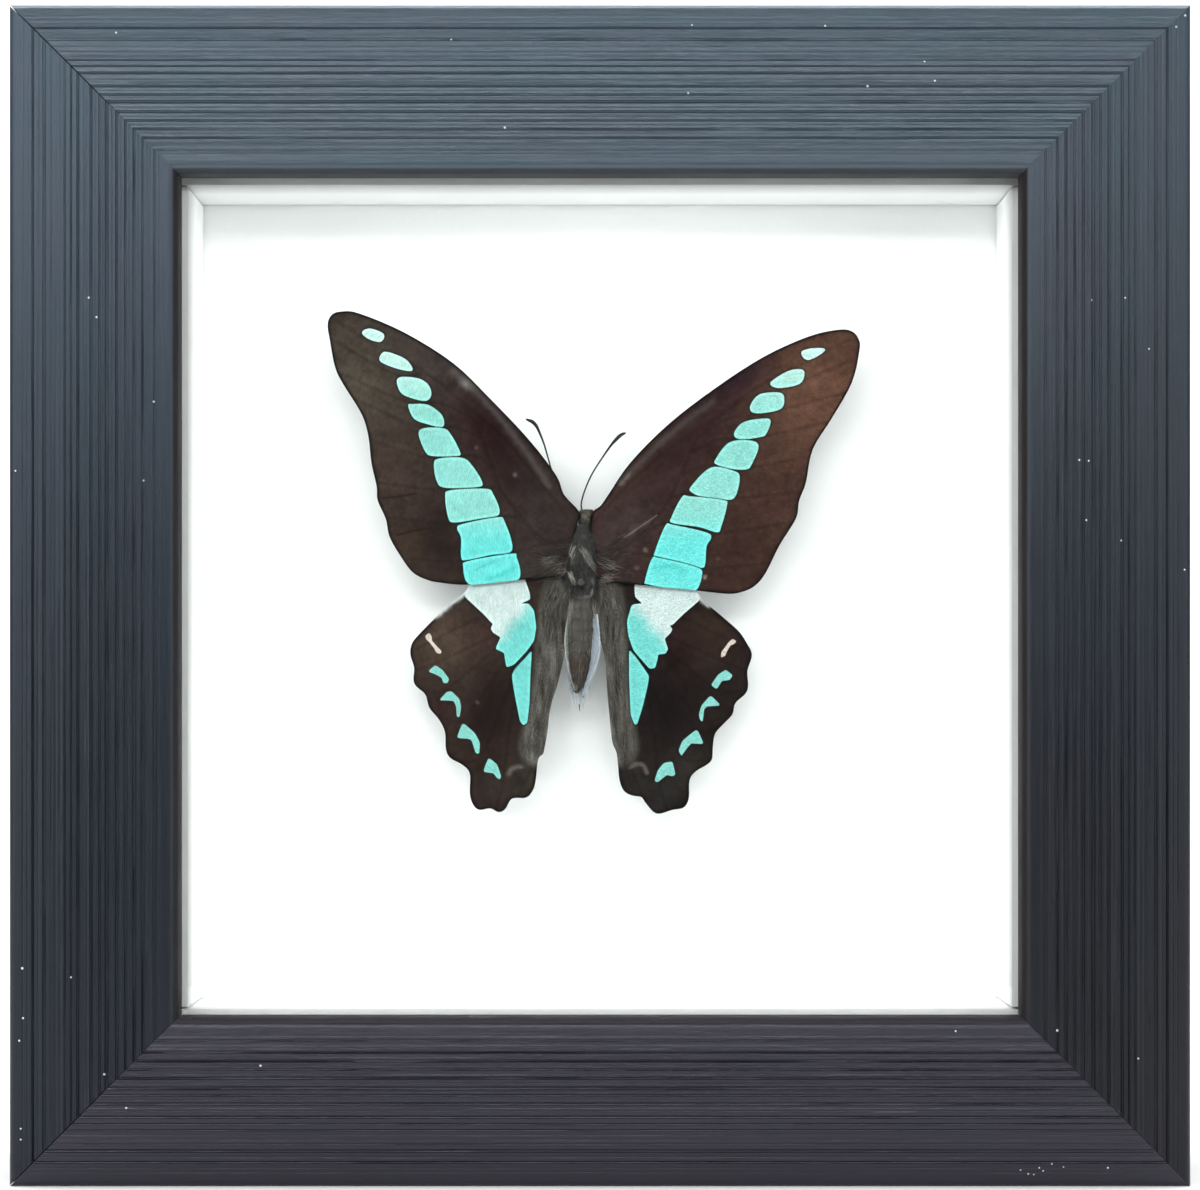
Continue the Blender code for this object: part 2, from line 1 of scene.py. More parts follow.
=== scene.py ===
"""Looks of the framed butterfly specimen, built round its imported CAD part.

Drawings are in millimetres. A frame drawing is measured from the frame's centre, and the insect's drawings
from its thorax, x to the right and z up. Depths are counted from the frame's face towards the wall.
"""

import math

import bmesh
import bpy
import numpy as np
from mathutils import Matrix, Vector
from mathutils.geometry import delaunay_2d_cdt


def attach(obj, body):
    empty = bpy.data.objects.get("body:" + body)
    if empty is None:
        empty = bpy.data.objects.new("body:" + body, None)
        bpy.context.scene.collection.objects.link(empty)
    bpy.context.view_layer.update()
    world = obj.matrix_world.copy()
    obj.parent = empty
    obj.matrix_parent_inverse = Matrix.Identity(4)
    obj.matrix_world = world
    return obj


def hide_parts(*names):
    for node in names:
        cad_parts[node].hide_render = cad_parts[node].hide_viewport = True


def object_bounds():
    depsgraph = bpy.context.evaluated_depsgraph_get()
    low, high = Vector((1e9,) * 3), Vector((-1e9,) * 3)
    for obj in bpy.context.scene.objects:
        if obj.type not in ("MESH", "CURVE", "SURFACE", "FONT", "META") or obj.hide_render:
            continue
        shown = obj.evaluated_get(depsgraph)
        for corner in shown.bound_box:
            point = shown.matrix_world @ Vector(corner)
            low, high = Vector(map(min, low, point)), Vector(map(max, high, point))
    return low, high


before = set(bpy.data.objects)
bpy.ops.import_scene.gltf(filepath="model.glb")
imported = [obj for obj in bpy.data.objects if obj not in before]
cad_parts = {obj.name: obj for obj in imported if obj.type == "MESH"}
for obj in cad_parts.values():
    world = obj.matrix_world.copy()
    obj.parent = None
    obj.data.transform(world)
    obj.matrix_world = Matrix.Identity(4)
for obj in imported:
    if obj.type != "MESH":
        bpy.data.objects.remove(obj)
CAD_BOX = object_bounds()

MM = 0.001
FACE_Y = CAD_BOX[0][1]
CENTRE_Z = (CAD_BOX[0][2] + CAD_BOX[1][2]) / 2

# The frame, in mm
HALF_SIDE = 76.0
FRAME_DEPTH = 34.0
RAIL_WIDTH = 21.8
OUTER_ROUND = 1.0
CROWN_TOP = 13.0
CROWN_FALL = 1.4
LIP_ROUND = 1.5
LIP_DEPTH = 5.0
RABBET_START = 17.3
GAP = 0.3

# Where the insect sits, in mm
THORAX = (-2.5, 3.0)
FOREWING_DEPTH = 15.0
HINDWING_DEPTH = 15.8
ANTENNA_DEPTH = 15.7
BODY_DEPTH = 16.0
BODY_TILT = math.radians(2.2)
PIN_RISE = -0.8
PIN_TOP_DEPTH = 11.9

# ---------------------------------------------------------------- number helpers


def rgb(red, green, blue):
    """A colour given in 0 to 255 steps, as linear light."""
    return tuple(
        c / 3294.6 if c <= 10.31 else ((c / 255 + 0.055) / 1.055) ** 2.4 for c in (red, green, blue)
    )


def smoothstep(low, high, value):
    t = np.clip((value - low) / (high - low), 0.0, 1.0)
    return t * t * (3 - 2 * t)


def lattice(ix, iy, seed):
    """A repeatable number from 0 to 1 for each whole-number place."""
    mixed = np.sin(ix * 127.1 + iy * 311.7 + seed * 74.7) * 43758.5453
    return mixed - np.floor(mixed)


def noise(x, y, seed):
    """Smooth noise from -1 to 1."""
    ix, iy = np.floor(x), np.floor(y)
    fx, fy = x - ix, y - iy
    fx, fy = fx * fx * (3 - 2 * fx), fy * fy * (3 - 2 * fy)
    low = lattice(ix, iy, seed) * (1 - fx) + lattice(ix + 1, iy, seed) * fx
    high = lattice(ix, iy + 1, seed) * (1 - fx) + lattice(ix + 1, iy + 1, seed) * fx
    return 2 * (low * (1 - fy) + high * fy) - 1


def layered_noise(x, y, seed, layers=3):
    total = 0.0
    for layer in range(layers):
        total = total + noise(x * 2**layer, y * 2**layer, seed + layer) / 2**layer
    return total


def smooth_points(points, steps, closed):
    """A smooth curve through the points, with steps pieces between each two of them."""
    pts = np.array(points, float)
    count = len(pts)
    if closed:
        padded = np.vstack([pts[-1:], pts, pts[:2]])
    else:
        padded = np.vstack([2 * pts[:1] - pts[1:2], pts, 2 * pts[-1:] - pts[-2:-1]])
    pieces = count if closed else count - 1
    made = []
    for i in range(pieces):
        before, start, end, after = padded[i : i + 4]
        slope_in, slope_out, rise = (end - before) / 2, (after - start) / 2, end - start
        for step in range(steps):
            t = step / steps
            made.append(
                start
                + slope_in * t
                + (3 * rise - 2 * slope_in - slope_out) * t**2
                + (slope_in + slope_out - 2 * rise) * t**3
            )
    if not closed:
        made.append(pts[-1])
    return np.array(made)


def even_points(path, spacing, closed):
    """The same line with points a fixed distance apart."""
    line = np.vstack([path, path[:1]]) if closed else path
    lengths = np.linalg.norm(np.diff(line, axis=0), axis=1)
    along = np.concatenate([[0.0], np.cumsum(lengths)])
    count = max(3, int(round(along[-1] / spacing)))
    places = np.linspace(0, along[-1], count, endpoint=not closed)
    return np.stack([np.interp(places, along, line[:, k]) for k in range(line.shape[1])], axis=1)


def line_distance(points, path, closed):
    """Each point's distance to a line, and how far along the line its nearest place is."""
    start = path if closed else path[:-1]
    end = np.roll(path, -1, axis=0) if closed else path[1:]
    step = end - start
    length2 = np.maximum((step**2).sum(1), 1e-12)
    run = np.concatenate([[0.0], np.cumsum(np.sqrt(length2))])
    best = np.full(len(points), 1e9)
    place = np.zeros(len(points))
    for low in range(0, len(points), 4000):
        chunk = points[low : low + 4000]
        offset = chunk[:, None, :] - start[None]
        t = np.clip((offset * step[None]).sum(2) / length2[None], 0, 1)
        away = np.sqrt(((offset - t[..., None] * step[None]) ** 2).sum(2))
        nearest = away.argmin(1)
        rows = np.arange(len(chunk))
        best[low : low + 4000] = away[rows, nearest]
        place[low : low + 4000] = run[nearest] + t[rows, nearest] * np.sqrt(length2[nearest])
    return best, place / run[-1]


def is_inside(points, loop):
    """Whether each point lies inside a closed loop."""
    x, y = points[:, 0], points[:, 1]
    inside = np.zeros(len(points), bool)
    for (x0, y0), (x1, y1) in zip(loop, np.roll(loop, -1, axis=0)):
        crosses = (y0 > y) != (y1 > y)
        if y1 != y0:
            inside ^= crosses & (x < (x1 - x0) * (y - y0) / (y1 - y0) + x0)
    return inside


def signed_distance(points, loop):
    """Distance to a closed loop, below zero inside it."""
    away, _ = line_distance(points, loop, True)
    return np.where(is_inside(points, loop), -away, away)


def blend(under, over, share):
    """Mixes a colour, or one colour a row, over colours one a row."""
    return under + (np.asarray(over) - under) * np.asarray(share)[:, None]


# ---------------------------------------------------------------- mesh helpers


def world_points(x, depth, z):
    """Points in metres from frame drawing places in mm."""
    return np.stack([x * MM, FACE_Y + depth * MM, CENTRE_Z + z * MM], axis=-1)


def insect_points(u, v, depth):
    """Points in metres from insect drawing places in mm."""
    return world_points(THORAX[0] + u, depth, THORAX[1] + v)


def new_mesh(name, vertices, faces, smooth=True):
    mesh = bpy.data.meshes.new(name)
    mesh.from_pydata([tuple(v) for v in vertices], [], faces)
    mesh.update()
    if smooth:
        mesh.shade_smooth()
    return mesh


def face_outwards(mesh):
    bm = bmesh.new()
    bm.from_mesh(mesh)
    bmesh.ops.recalc_face_normals(bm, faces=bm.faces)
    bm.to_mesh(mesh)
    bm.free()


def tube_sides(rings, sides):
    """Four-sided faces from ring to ring of a swept shape."""
    faces = []
    for ring_start in range(0, (rings - 1) * sides, sides):
        for k in range(sides):
            a, b = ring_start + k, ring_start + (k + 1) % sides
            faces.append((a, b, b + sides, a + sides))
    return faces


def tube_faces(rings, sides):
    """The faces of a swept shape with flat ends."""
    near_end = tuple(range(sides - 1, -1, -1))
    far_end = tuple(range((rings - 1) * sides, rings * sides))
    return [*tube_sides(rings, sides), near_end, far_end]


def pointed_faces(rings, sides):
    """The faces of a turned shape: one point on top, rings of points, and one point below."""
    last = 1 + rings * sides
    end = 1 + (rings - 1) * sides
    faces = []
    for k in range(sides):
        after = (k + 1) % sides
        faces.append((0, 1 + k, 1 + after))
        for low in range(1, end, sides):
            faces.append((low + k, low + sides + k, low + sides + after, low + after))
        faces.append((last, end + after, end + k))
    return faces


def set_vectors(mesh, name, values):
    """Stores one vector a vertex for a material to read."""
    attribute = mesh.attributes.new(name, "FLOAT_VECTOR", "POINT")
    attribute.data.foreach_set("vector", np.asarray(values, np.float32).ravel())


def set_colours(mesh, name, values):
    attribute = mesh.attributes.new(name, "FLOAT_COLOR", "POINT")
    four = np.ones((len(mesh.vertices), 4), np.float32)
    four[:, :3] = values
    attribute.data.foreach_set("color", four.ravel())


def add_piece(name, mesh, material, slot, *nodes):
    """Puts a piece in the scene, riding on the object's body and standing for its CAD nodes."""
    piece = bpy.data.objects.new(name, mesh)
    bpy.context.scene.collection.objects.link(piece)
    mesh.materials.clear()
    mesh.materials.append(material)
    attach(piece, "root")
    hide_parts(*nodes)
    return piece


# ---------------------------------------------------------------- material helpers


class Surface:
    """A node material under construction, with its principled shader."""

    def __init__(self, name, **settings):
        self.material = bpy.data.materials.new(name)
        self.material.use_nodes = True
        self.tree = self.material.node_tree
        self.shader = self.tree.nodes["Principled BSDF"]
        self.output = self.tree.nodes["Material Output"]
        for socket, value in settings.items():
            self.feed(self.shader.inputs[socket.replace("_", " ")], value)

    def feed(self, socket, value):
        if isinstance(value, bpy.types.NodeSocket):
            self.tree.links.new(value, socket)
        elif isinstance(value, tuple) and len(value) == 3 and len(socket.default_value) == 4:
            socket.default_value = (*value, 1.0)
        else:
            socket.default_value = value

    def node(self, kind, sockets=None, **settings):
        made = self.tree.nodes.new(kind)
        for key, value in settings.items():
            setattr(made, key, value)
        for key, value in (sockets or {}).items():
            self.feed(made.inputs[key], value)
        return made

    def place(self):
        return self.node("ShaderNodeTexCoord").outputs["Object"]

    def vector(self, name):
        return self.node("ShaderNodeAttribute", attribute_name=name).outputs["Vector"]

    def colour(self, name):
        return self.node("ShaderNodeAttribute", attribute_name=name).outputs["Color"]

    def axis(self, vector, letter):
        return self.node("ShaderNodeSeparateXYZ", {0: vector}).outputs[letter]

    def scaled(self, vector, scale):
        made = self.node("ShaderNodeVectorMath", {0: vector, 1: scale}, operation="MULTIPLY")
        return made.outputs["Vector"]

    def noise(self, vector, scale, detail=3.0, rough=0.55):
        sockets = {"Vector": vector, "Scale": scale, "Detail": detail, "Roughness": rough}
        return self.node("ShaderNodeTexNoise", sockets).outputs["Fac"]

    def cells(self, vector, scale, feature="F1", output="Distance"):
        sockets = {"Vector": vector, "Scale": scale}
        return self.node("ShaderNodeTexVoronoi", sockets, feature=feature).outputs[output]

    def spread(self, value, low, high, to_low=0.0, to_high=1.0):
        sockets = {"Value": value, "From Min": low, "From Max": high, "To Min": to_low, "To Max": to_high}
        return self.node("ShaderNodeMapRange", sockets).outputs["Result"]

    def maths(self, operation, first, second):
        return self.node("ShaderNodeMath", {0: first, 1: second}, operation=operation).outputs["Value"]

    def mix(self, share, first, second, blend_type="MIX"):
        made = self.node("ShaderNodeMix", data_type="RGBA", blend_type=blend_type)
        for socket, value in zip((made.inputs[0], made.inputs[6], made.inputs[7]), (share, first, second)):
            self.feed(socket, value)
        return made.outputs[2]

    def scale_colour(self, colour, factor):
        """A colour made lighter or darker by a number."""
        grey = self.node("ShaderNodeCombineColor", {0: factor, 1: factor, 2: factor}).outputs[0]
        return self.mix(1.0, colour, grey, "MULTIPLY")

    def bump(self, height, distance, strength=1.0, normal=None):
        sockets = {"Height": height, "Distance": distance, "Strength": strength}
        if normal is not None:
            sockets["Normal"] = normal
        return self.node("ShaderNodeBump", sockets).outputs["Normal"]

    def finish(self, colour, roughness, normal=None):
        self.feed(self.shader.inputs["Base Color"], colour)
        self.feed(self.shader.inputs["Roughness"], roughness)
        if normal is not None:
            self.feed(self.shader.inputs["Normal"], normal)
        return self.material


# ---------------------------------------------------------------- camera, lights, stage

SENSOR = 36.0
VIEW_WIDTH = 153.7  # mm of the frame's face that the picture spans
CAMERA_DISTANCE = 400.0
CAMERA_DROP = 15.0


def add_camera():
    data = bpy.data.cameras.new("camera")
    camera = bpy.data.objects.new("camera", data)
    bpy.context.scene.collection.objects.link(camera)
    data.sensor_width = SENSOR
    data.lens = SENSOR * CAMERA_DISTANCE / VIEW_WIDTH
    data.shift_y = CAMERA_DROP / VIEW_WIDTH
    data.clip_start = 0.01
    camera.location = (0.0, FACE_Y - CAMERA_DISTANCE * MM, CENTRE_Z - CAMERA_DROP * MM)
    camera.rotation_euler = (math.radians(90), 0.0, 0.0)
    bpy.context.scene.camera = camera


# name: (place, what it faces, width, height, watts)
LIGHTS = {
    "key_above": ((-0.05, -0.45, 0.24), (0.0, 0.0, CENTRE_Z), 0.60, 0.06, 1.6),
    "fill_left": ((-0.64, -0.50, 0.16), (0.0, 0.0, CENTRE_Z), 0.40, 0.56, 2.65),
    "fill_right": ((0.64, -0.50, 0.16), (0.0, 0.0, CENTRE_Z), 0.40, 0.56, 2.3),
    "overhead": ((0.0, -0.14, 0.70), (0.0, -0.14, 0.0), 0.90, 0.20, 1.5),
    "backdrop_wash": ((0.0, 0.12, 0.95), (0.0, 0.72, 0.0), 1.20, 0.40, 15.0),
}


def add_lights():
    for name, (place, target, width, height, watts) in LIGHTS.items():
        data = bpy.data.lights.new(name, "AREA")
        data.shape = "RECTANGLE"
        data.size = width
        data.size_y = height
        data.energy = watts
        light = bpy.data.objects.new(name, data)
        bpy.context.scene.collection.objects.link(light)
        light.location = place
        light.visible_camera = False
        light.rotation_euler = (Vector(target) - Vector(place)).to_track_quat("-Z", "Y").to_euler()


WORLD_LIGHT = 0.05  # how strongly the surroundings light the scene
WORLD_SEEN = 0.9  # how bright they look behind it


def add_world():
    world = bpy.data.worlds.new("studio")
    bpy.context.scene.world = world
    world.use_nodes = True
    background = world.node_tree.nodes["Background"]
    background.inputs["Color"].default_value = (0.95, 0.97, 1.0, 1.0)
    seen = world.node_tree.nodes.new("ShaderNodeLightPath").outputs["Is Camera Ray"]
    strength = world.node_tree.nodes.new("ShaderNodeMath")
    strength.operation = "MULTIPLY_ADD"
    world.node_tree.links.new(seen, strength.inputs[0])
    strength.inputs[1].default_value = WORLD_SEEN - WORLD_LIGHT
    strength.inputs[2].default_value = WORLD_LIGHT
    world.node_tree.links.new(strength.outputs[0], background.inputs["Strength"])


def add_sweep():
    """A pale floor that curves up into a backdrop."""
    half_width, front, bend_start, radius, top = 2.2, -0.3, 0.55, 0.35, 1.9
    profile = [(front, 0.0), (bend_start, 0.0)]
    profile += [
        (bend_start + radius * math.sin(a), radius * (1 - math.cos(a)))
        for a in np.linspace(0.1, math.pi / 2, 14)
    ]
    profile.append((bend_start + radius, top))
    vertices = [(x, y, z) for y, z in profile for x in (-half_width, half_width)]
    faces = [(2 * i, 2 * i + 1, 2 * i + 3, 2 * i + 2) for i in range(len(profile) - 1)]
    mesh = new_mesh("studio_sweep", vertices, faces)
    surface = Surface("paper_sweep")
    grain = surface.noise(surface.place(), 40.0)
    tone = surface.spread(grain, 0.3, 0.7, 0.93, 0.96)
    mesh.materials.append(surface.finish(surface.scale_colour((1.0, 1.0, 1.0), tone), 0.9))
    sweep = bpy.data.objects.new("studio_sweep", mesh)
    bpy.context.scene.collection.objects.link(sweep)


# ---------------------------------------------------------------- the frame's moulding

# Grooves: (distance in from the outer edge, width, depth). The last ones are only scratches of the comb.
GROOVES = [
    (3.2, 0.35, 0.38), (4.7, 0.45, 0.30), (7.4, 0.30, 0.22), (8.2, 0.30, 0.26), (9.1, 0.40, 0.36),
    (10.8, 0.40, 0.34), (11.9, 0.35, 0.28), (12.8, 0.50, 0.40), (14.1, 0.40, 0.37),
    (15.2, 0.35, 0.27), (16.3, 0.40, 0.33), (17.4, 0.35, 0.29), (18.9, 0.30, 0.20),
    (1.9, 0.20, 0.06), (2.5, 0.20, 0.05), (3.9, 0.24, 0.08), (5.6, 0.26, 0.12), (6.2, 0.20, 0.05),
    (6.8, 0.20, 0.07), (9.9, 0.30, 0.12), (10.3, 0.16, 0.05), (11.35, 0.18, 0.08), (12.3, 0.20, 0.10),
    (13.5, 0.24, 0.12), (14.65, 0.20, 0.08), (15.7, 0.22, 0.10), (16.85, 0.20, 0.08),
    (18.0, 0.20, 0.08), (18.4, 0.16, 0.05), (19.5, 0.20, 0.05),
]
STATIONS = 61
GROOVE_WANDER = 0.02
GROOVE_CUT = 0.6  # share of each groove's listed depth that the paint leaves open
GROOVE_FULL_SHADE = 0.4  # the listed depth at which a groove gets its full painted shade
FACE_RIPPLE = 0.012
SHARP_ANGLE = math.radians(38)
CHIP_COLOUR = rgb(196, 200, 204)

# The gap left open at each mitre, in mm, at its outer end and at its inner end
MITRES = {"TL": (0.10, 0.01), "TR": (0.01, 0.01), "BR": (0.03, 0.03), "BL": (0.09, 0.04)}

# rail: (corner at its low end, corner at its high end)
RAILS = {
    "rail_bottom": ("BL", "BR"),
    "rail_left": ("BL", "TL"),
    "rail_top": ("TL", "TR"),
    "rail_right": ("BR", "TR"),
}

# The tint of each rail's gloss, brightest and bluest on the top rail and darkest on the right one: painted
# light, standing in for how the studio light falls on each side of the frame
RAIL_GLOSS_PAINTED_LIGHT = {
    "rail_bottom": (0.50, 0.48, 0.60),
    "rail_left": (0.25, 0.29, 0.35),
    "rail_top": (0.60, 0.72, 0.84),
    "rail_right": (0.23, 0.24, 0.27),
}

# Painted shade in the grooves: how dark the paint is made at a groove's bottom; the side rails' grooves get
# less of it
GROOVE_SHADE = {"rail_bottom": 0.65, "rail_left": 0.9, "rail_top": 0.65, "rail_right": 0.95}

# Pale nibs and chips in the paint: (x, z, radius) from the frame's centre
CHIPS = [
    (-62.1, 72.2, 0.13), (-19.1, 71.3, 0.12), (-12.2, 59.9, 0.15), (-65.5, 38.1, 0.13), (-64.5, 35.6, 0.14),
    (-57.2, 24.8, 0.13), (-75.1, 16.0, 0.12), (-58.5, 14.7, 0.12), (11.8, 73.2, 0.12), (28.9, 73.1, 0.13),
    (11.3, 64.3, 0.12), (34.3, 65.2, 0.16), (42.9, 65.9, 0.13), (41.6, 68.4, 0.12), (74.0, 73.0, 0.14),
    (63.0, 37.8, 0.12), (67.3, 38.1, 0.11), (70.4, 31.6, 0.12), (66.8, 7.0, 0.13), (75.1, 3.3, 0.12),
    (62.3, 9.6, 0.12), (61.4, 17.3, 0.13), (62.6, 17.2, 0.12), (-74.2, -47.9, 0.17), (-74.1, -54.3, 0.14),
    (-74.6, -57.2, 0.14), (-74.4, -68.5, 0.12), (-74.4, -69.9, 0.12), (-63.5, -61.4, 0.14),
    (-60.7, -65.7, 0.13), (-43.5, -60.3, 0.15), (-67.8, -49.0, 0.13), (58.6, -55.8, 0.16),
    (69.0, -59.4, 0.13), (45.6, -55.9, 0.12), (65.2, -73.5, 0.13), (58.0, -73.0, 0.10),
    (54.0, -73.8, 0.09), (55.0, -74.3, 0.10), (56.4, -73.5, 0.11), (56.9, -73.9, 0.10),
    (55.7, -74.4, 0.08), (59.5, -73.4, 0.09), (75.2, 74.5, 0.15),
]


def face_depth(distance):
    return CROWN_FALL * ((CROWN_TOP - distance) / CROWN_TOP) ** 2


def section_points():
    """The moulding's section from its outer back corner round to its inner one.
    Rows of (distance in, depth, groove number or -1, share of the groove's depth, painted share)."""
    edge = face_depth(OUTER_ROUND)
    rows = [(0.35, FRAME_DEPTH, -1, 0, 0), (0.0, FRAME_DEPTH - 0.35, -1, 0, 0.5)]
    rows += [(0.0, depth, -1, 0, 1) for depth in (30.0, 24.0, 18.0, 12.0, 7.0, 4.0)]
    for angle in np.radians(np.linspace(180, 262, 7)):
        rows.append((
            OUTER_ROUND * (1 + math.cos(angle)), edge + OUTER_ROUND * (1 + math.sin(angle)), -1, 0, 1
        ))
    shares = ((-0.5, 0.0), (-0.3, 0.75), (0.0, 1.0), (0.3, 0.75), (0.5, 0.0))
    face = []
    for number, (middle, width, _) in enumerate(GROOVES):
        face += [(middle + offset * width, number, share) for offset, share in shares]
    taken = np.array([distance for distance, _, _ in face])
    for distance in np.arange(1.2, RAIL_WIDTH - LIP_ROUND, 0.22):
        inside = any(abs(distance - g[0]) < g[1] / 2 + 0.07 for g in GROOVES)
        if not inside and np.abs(taken - distance).min() > 0.07:
            face.append((distance, -1, 0.0))
    rows += [(d, face_depth(d), number, share, 1) for d, number, share in sorted(face)]
    lip = RAIL_WIDTH - LIP_ROUND
    top = face_depth(lip)
    for angle in np.radians(np.linspace(-84, 0, 9)):
        rows.append((lip + LIP_ROUND * math.cos(angle), top + LIP_ROUND * (1 + math.sin(angle)), -1, 0, 1))
    rows += [(RAIL_WIDTH, LIP_DEPTH - 0.15, -1, 0, 1), (RAIL_WIDTH - 0.2, LIP_DEPTH, -1, 0, 0.4)]
    rows += [(RABBET_START, LIP_DEPTH, -1, 0, 0), (RABBET_START, 14.0, -1, 0, 0)]
    rows += [(RABBET_START, 24.0, -1, 0, 0), (RABBET_START, FRAME_DEPTH - 0.25, -1, 0, 0)]
    rows += [(RABBET_START - 0.25, FRAME_DEPTH, -1, 0, 0), (8.0, FRAME_DEPTH, -1, 0, 0)]
    return np.array(rows, float)


def mitre_setback(corner, distance):
    outer, inner = MITRES[corner]
    return outer + (inner - outer) * smoothstep(0.45, 0.75, distance / RAIL_WIDTH)


def rail_positions(name, distance):
    """The section points' places along the rail at every station, drawn in at the mitres."""
    low_corner, high_corner = RAILS[name]
    along = np.linspace(-1, 1, STATIONS)[:, None]
    half_low = HALF_SIDE - distance - mitre_setback(low_corner, distance)
    half_high = HALF_SIDE - distance - mitre_setback(high_corner, distance)
    return np.where(along < 0, along * half_low, along * half_high)


def groove_depths(groove):
    """The listed depth of each section point's groove."""
    return np.array([g[2] for g in GROOVES])[np.clip(groove.astype(int), 0, None)]


def combed(section, position, seed):
    """The section's distances and depths at every station, with wandering, uneven grooves."""
    distance, depth, groove, share, _ = section.T
    in_groove = groove >= 0
    wander = noise(position / 9.0, groove * 3.7 + seed, seed)
    wander = wander + 0.5 * noise(position / 2.7, groove * 5.1, seed + 3)
    ends = smoothstep(0.0, 4.0, HALF_SIDE - distance - np.abs(position))
    across = distance + np.where(in_groove, wander * GROOVE_WANDER * ends, 0.0)
    uneven = 1 + 0.25 * noise(position / 6.0, groove * 2.3, seed + 5)
    cut = GROOVE_CUT * groove_depths(groove) * share * uneven
    on_face = (distance > 1.1) & (distance < RAIL_WIDTH - LIP_ROUND) & (depth < LIP_DEPTH)
    ripple = FACE_RIPPLE * (1 + noise(position / 25.0, distance * 1.9 + seed, seed + 7))
    ripple = ripple * smoothstep(1.1, 2.5, distance)
    return across, depth + np.where(in_groove, cut, 0.0) + np.where(on_face, ripple, 0.0)


def rail_finish(section):
    """For each section point: how much is painted, how deep in a groove it is, which sets the painted shade
    in the groove, and how far it is onto the lip's inner side, which is painted dark as shade.
    """
    distance, _, groove, share, painted = section.T
    shaded = np.where(groove >= 0, share * groove_depths(groove) / GROOVE_FULL_SHADE, 0)
    lip = smoothstep(RAIL_WIDTH - 0.9, RAIL_WIDTH - 0.35, distance)
    return np.stack([painted, shaded, lip], axis=1)


def rail_mesh(name, seed):
    """One rail: its section swept along, with combed grooves and 45 degree ends."""
    section = section_points()
    count = len(section)
    position = rail_positions(name, section[:, 0])
    across, depth = combed(section, position, seed)
    x, z = rail_places(name, position, across)
    total = STATIONS * count
    ends = [tuple(range(count)), tuple(range(total - 1, total - count - 1, -1))]
    faces = tube_sides(STATIONS, count) + ends
    mesh = new_mesh(name, world_points(x.ravel(), depth.ravel(), z.ravel()), faces)
    face_outwards(mesh)
    mesh.set_sharp_from_angle(angle=SHARP_ANGLE)
    grain = np.stack([position, across - depth, np.full_like(across, seed * 10.0)], axis=-1)
    set_vectors(mesh, "grain", grain.reshape(-1, 3))
    # finish holds, for each point: its painted share, the painted shade in its groove, and the painted shade
    # of the lip's inner side.
    set_vectors(mesh, "finish", np.tile(rail_finish(section), (STATIONS, 1)))
    unroll_rail(mesh, count)
    return mesh


def rail_places(name, position, distance):
    """Frame drawing places from a place along a rail and a distance in from the outer edge."""
    inwards = HALF_SIDE - distance
    return {
        "rail_bottom": (position, -inwards),
        "rail_top": (position, inwards),
        "rail_left": (-inwards, position),
        "rail_right": (inwards, position),
    }[name]


def unroll_rail(mesh, count):
    """Lays the swept faces flat, one row of texture for each strip along the rail."""
    co = np.zeros(len(mesh.vertices) * 3)
    mesh.vertices.foreach_get("co", co)
    middle = co.reshape(STATIONS, count, 3)[STATIONS // 2]
    girth = np.linalg.norm(np.diff(np.vstack([middle, middle[:1]]), axis=0), axis=1)
    v = np.concatenate([[0.0], np.cumsum(girth)]) / girth.sum()
    layer = mesh.uv_layers.new(name="OFBake")
    for polygon in mesh.polygons:
        corners = list(polygon.vertices)
        wraps = {0, count - 1} <= {c % count for c in corners}
        for loop in polygon.loop_indices:
            vertex = mesh.loops[loop].vertex_index
            station, k = divmod(vertex, count)
            if len(corners) > 4:
                layer.data[loop].uv = (0.965 + 0.03 * (station > 0), 0.02 + 0.96 * v[k])
                continue
            across = 1.0 if wraps and k == 0 else v[k]
            layer.data[loop].uv = (0.01 + 0.94 * station / (STATIONS - 1), 0.005 + 0.99 * across)


def chip_mask(surface, place, chips):
    """One where a chip lies."""
    flat = surface.scaled(place, (1.0, 0.0, 1.0))
    total = None
    for x, z, radius in chips:
        sockets = {0: flat, 1: (x * MM, 0.0, CENTRE_Z + z * MM)}
        away = surface.node("ShaderNodeVectorMath", sockets, operation="DISTANCE").outputs["Value"]
        mask = surface.spread(away, radius * 1.15 * MM, radius * 0.7 * MM)
        total = mask if total is None else surface.maths("MAXIMUM", total, mask)
    return total


def slate_colour(surface, place, grain):
    """Slate paint, near black at the foot of the frame and paler blue-grey towards its top; the rise towards
    the top is painted light from above, standing in for the studio light's gloss.
    """
    blotch = surface.noise(surface.scaled(grain, (0.035, 0.16, 1.0)), 1.0, 4.0)
    cast = surface.noise(surface.scaled(grain, (0.02, 0.3, 1.7)), 1.0, 3.0)
    # Painted light: the paint is mixed from dark at the foot to pale blue-grey at the top, standing in for
    # the light from above.
    painted_top_light = surface.spread(surface.axis(place, "Z"), 0.0, 2 * HALF_SIDE * MM)
    painted_top_light = surface.maths("POWER", painted_top_light, 2.2)
    dark = surface.mix(surface.spread(blotch, 0.4, 0.62), rgb(13, 13, 16), rgb(12, 15, 18))
    dark = surface.mix(surface.spread(cast, 0.52, 0.68), dark, rgb(17, 14, 19))
    pale = surface.mix(surface.spread(blotch, 0.35, 0.65), rgb(46, 62, 70), rgb(52, 60, 70))
    return surface.mix(painted_top_light, dark, pale)


def wood_colour(surface, grain):
    """Raw pale wood, with its rings and fibres along the rail."""
    ring = surface.noise(surface.scaled(grain, (0.03, 1.3, 2.0)), 1.0, 4.0)
    fibre = surface.noise(surface.scaled(grain, (0.25, 9.0, 2.0)), 1.0, 3.0)
    wood = surface.mix(surface.spread(ring, 0.35, 0.65), rgb(196, 160, 118), rgb(168, 126, 84))
    return surface.scale_colour(wood, surface.spread(fibre, 0.2, 0.8, 0.8, 1.15))


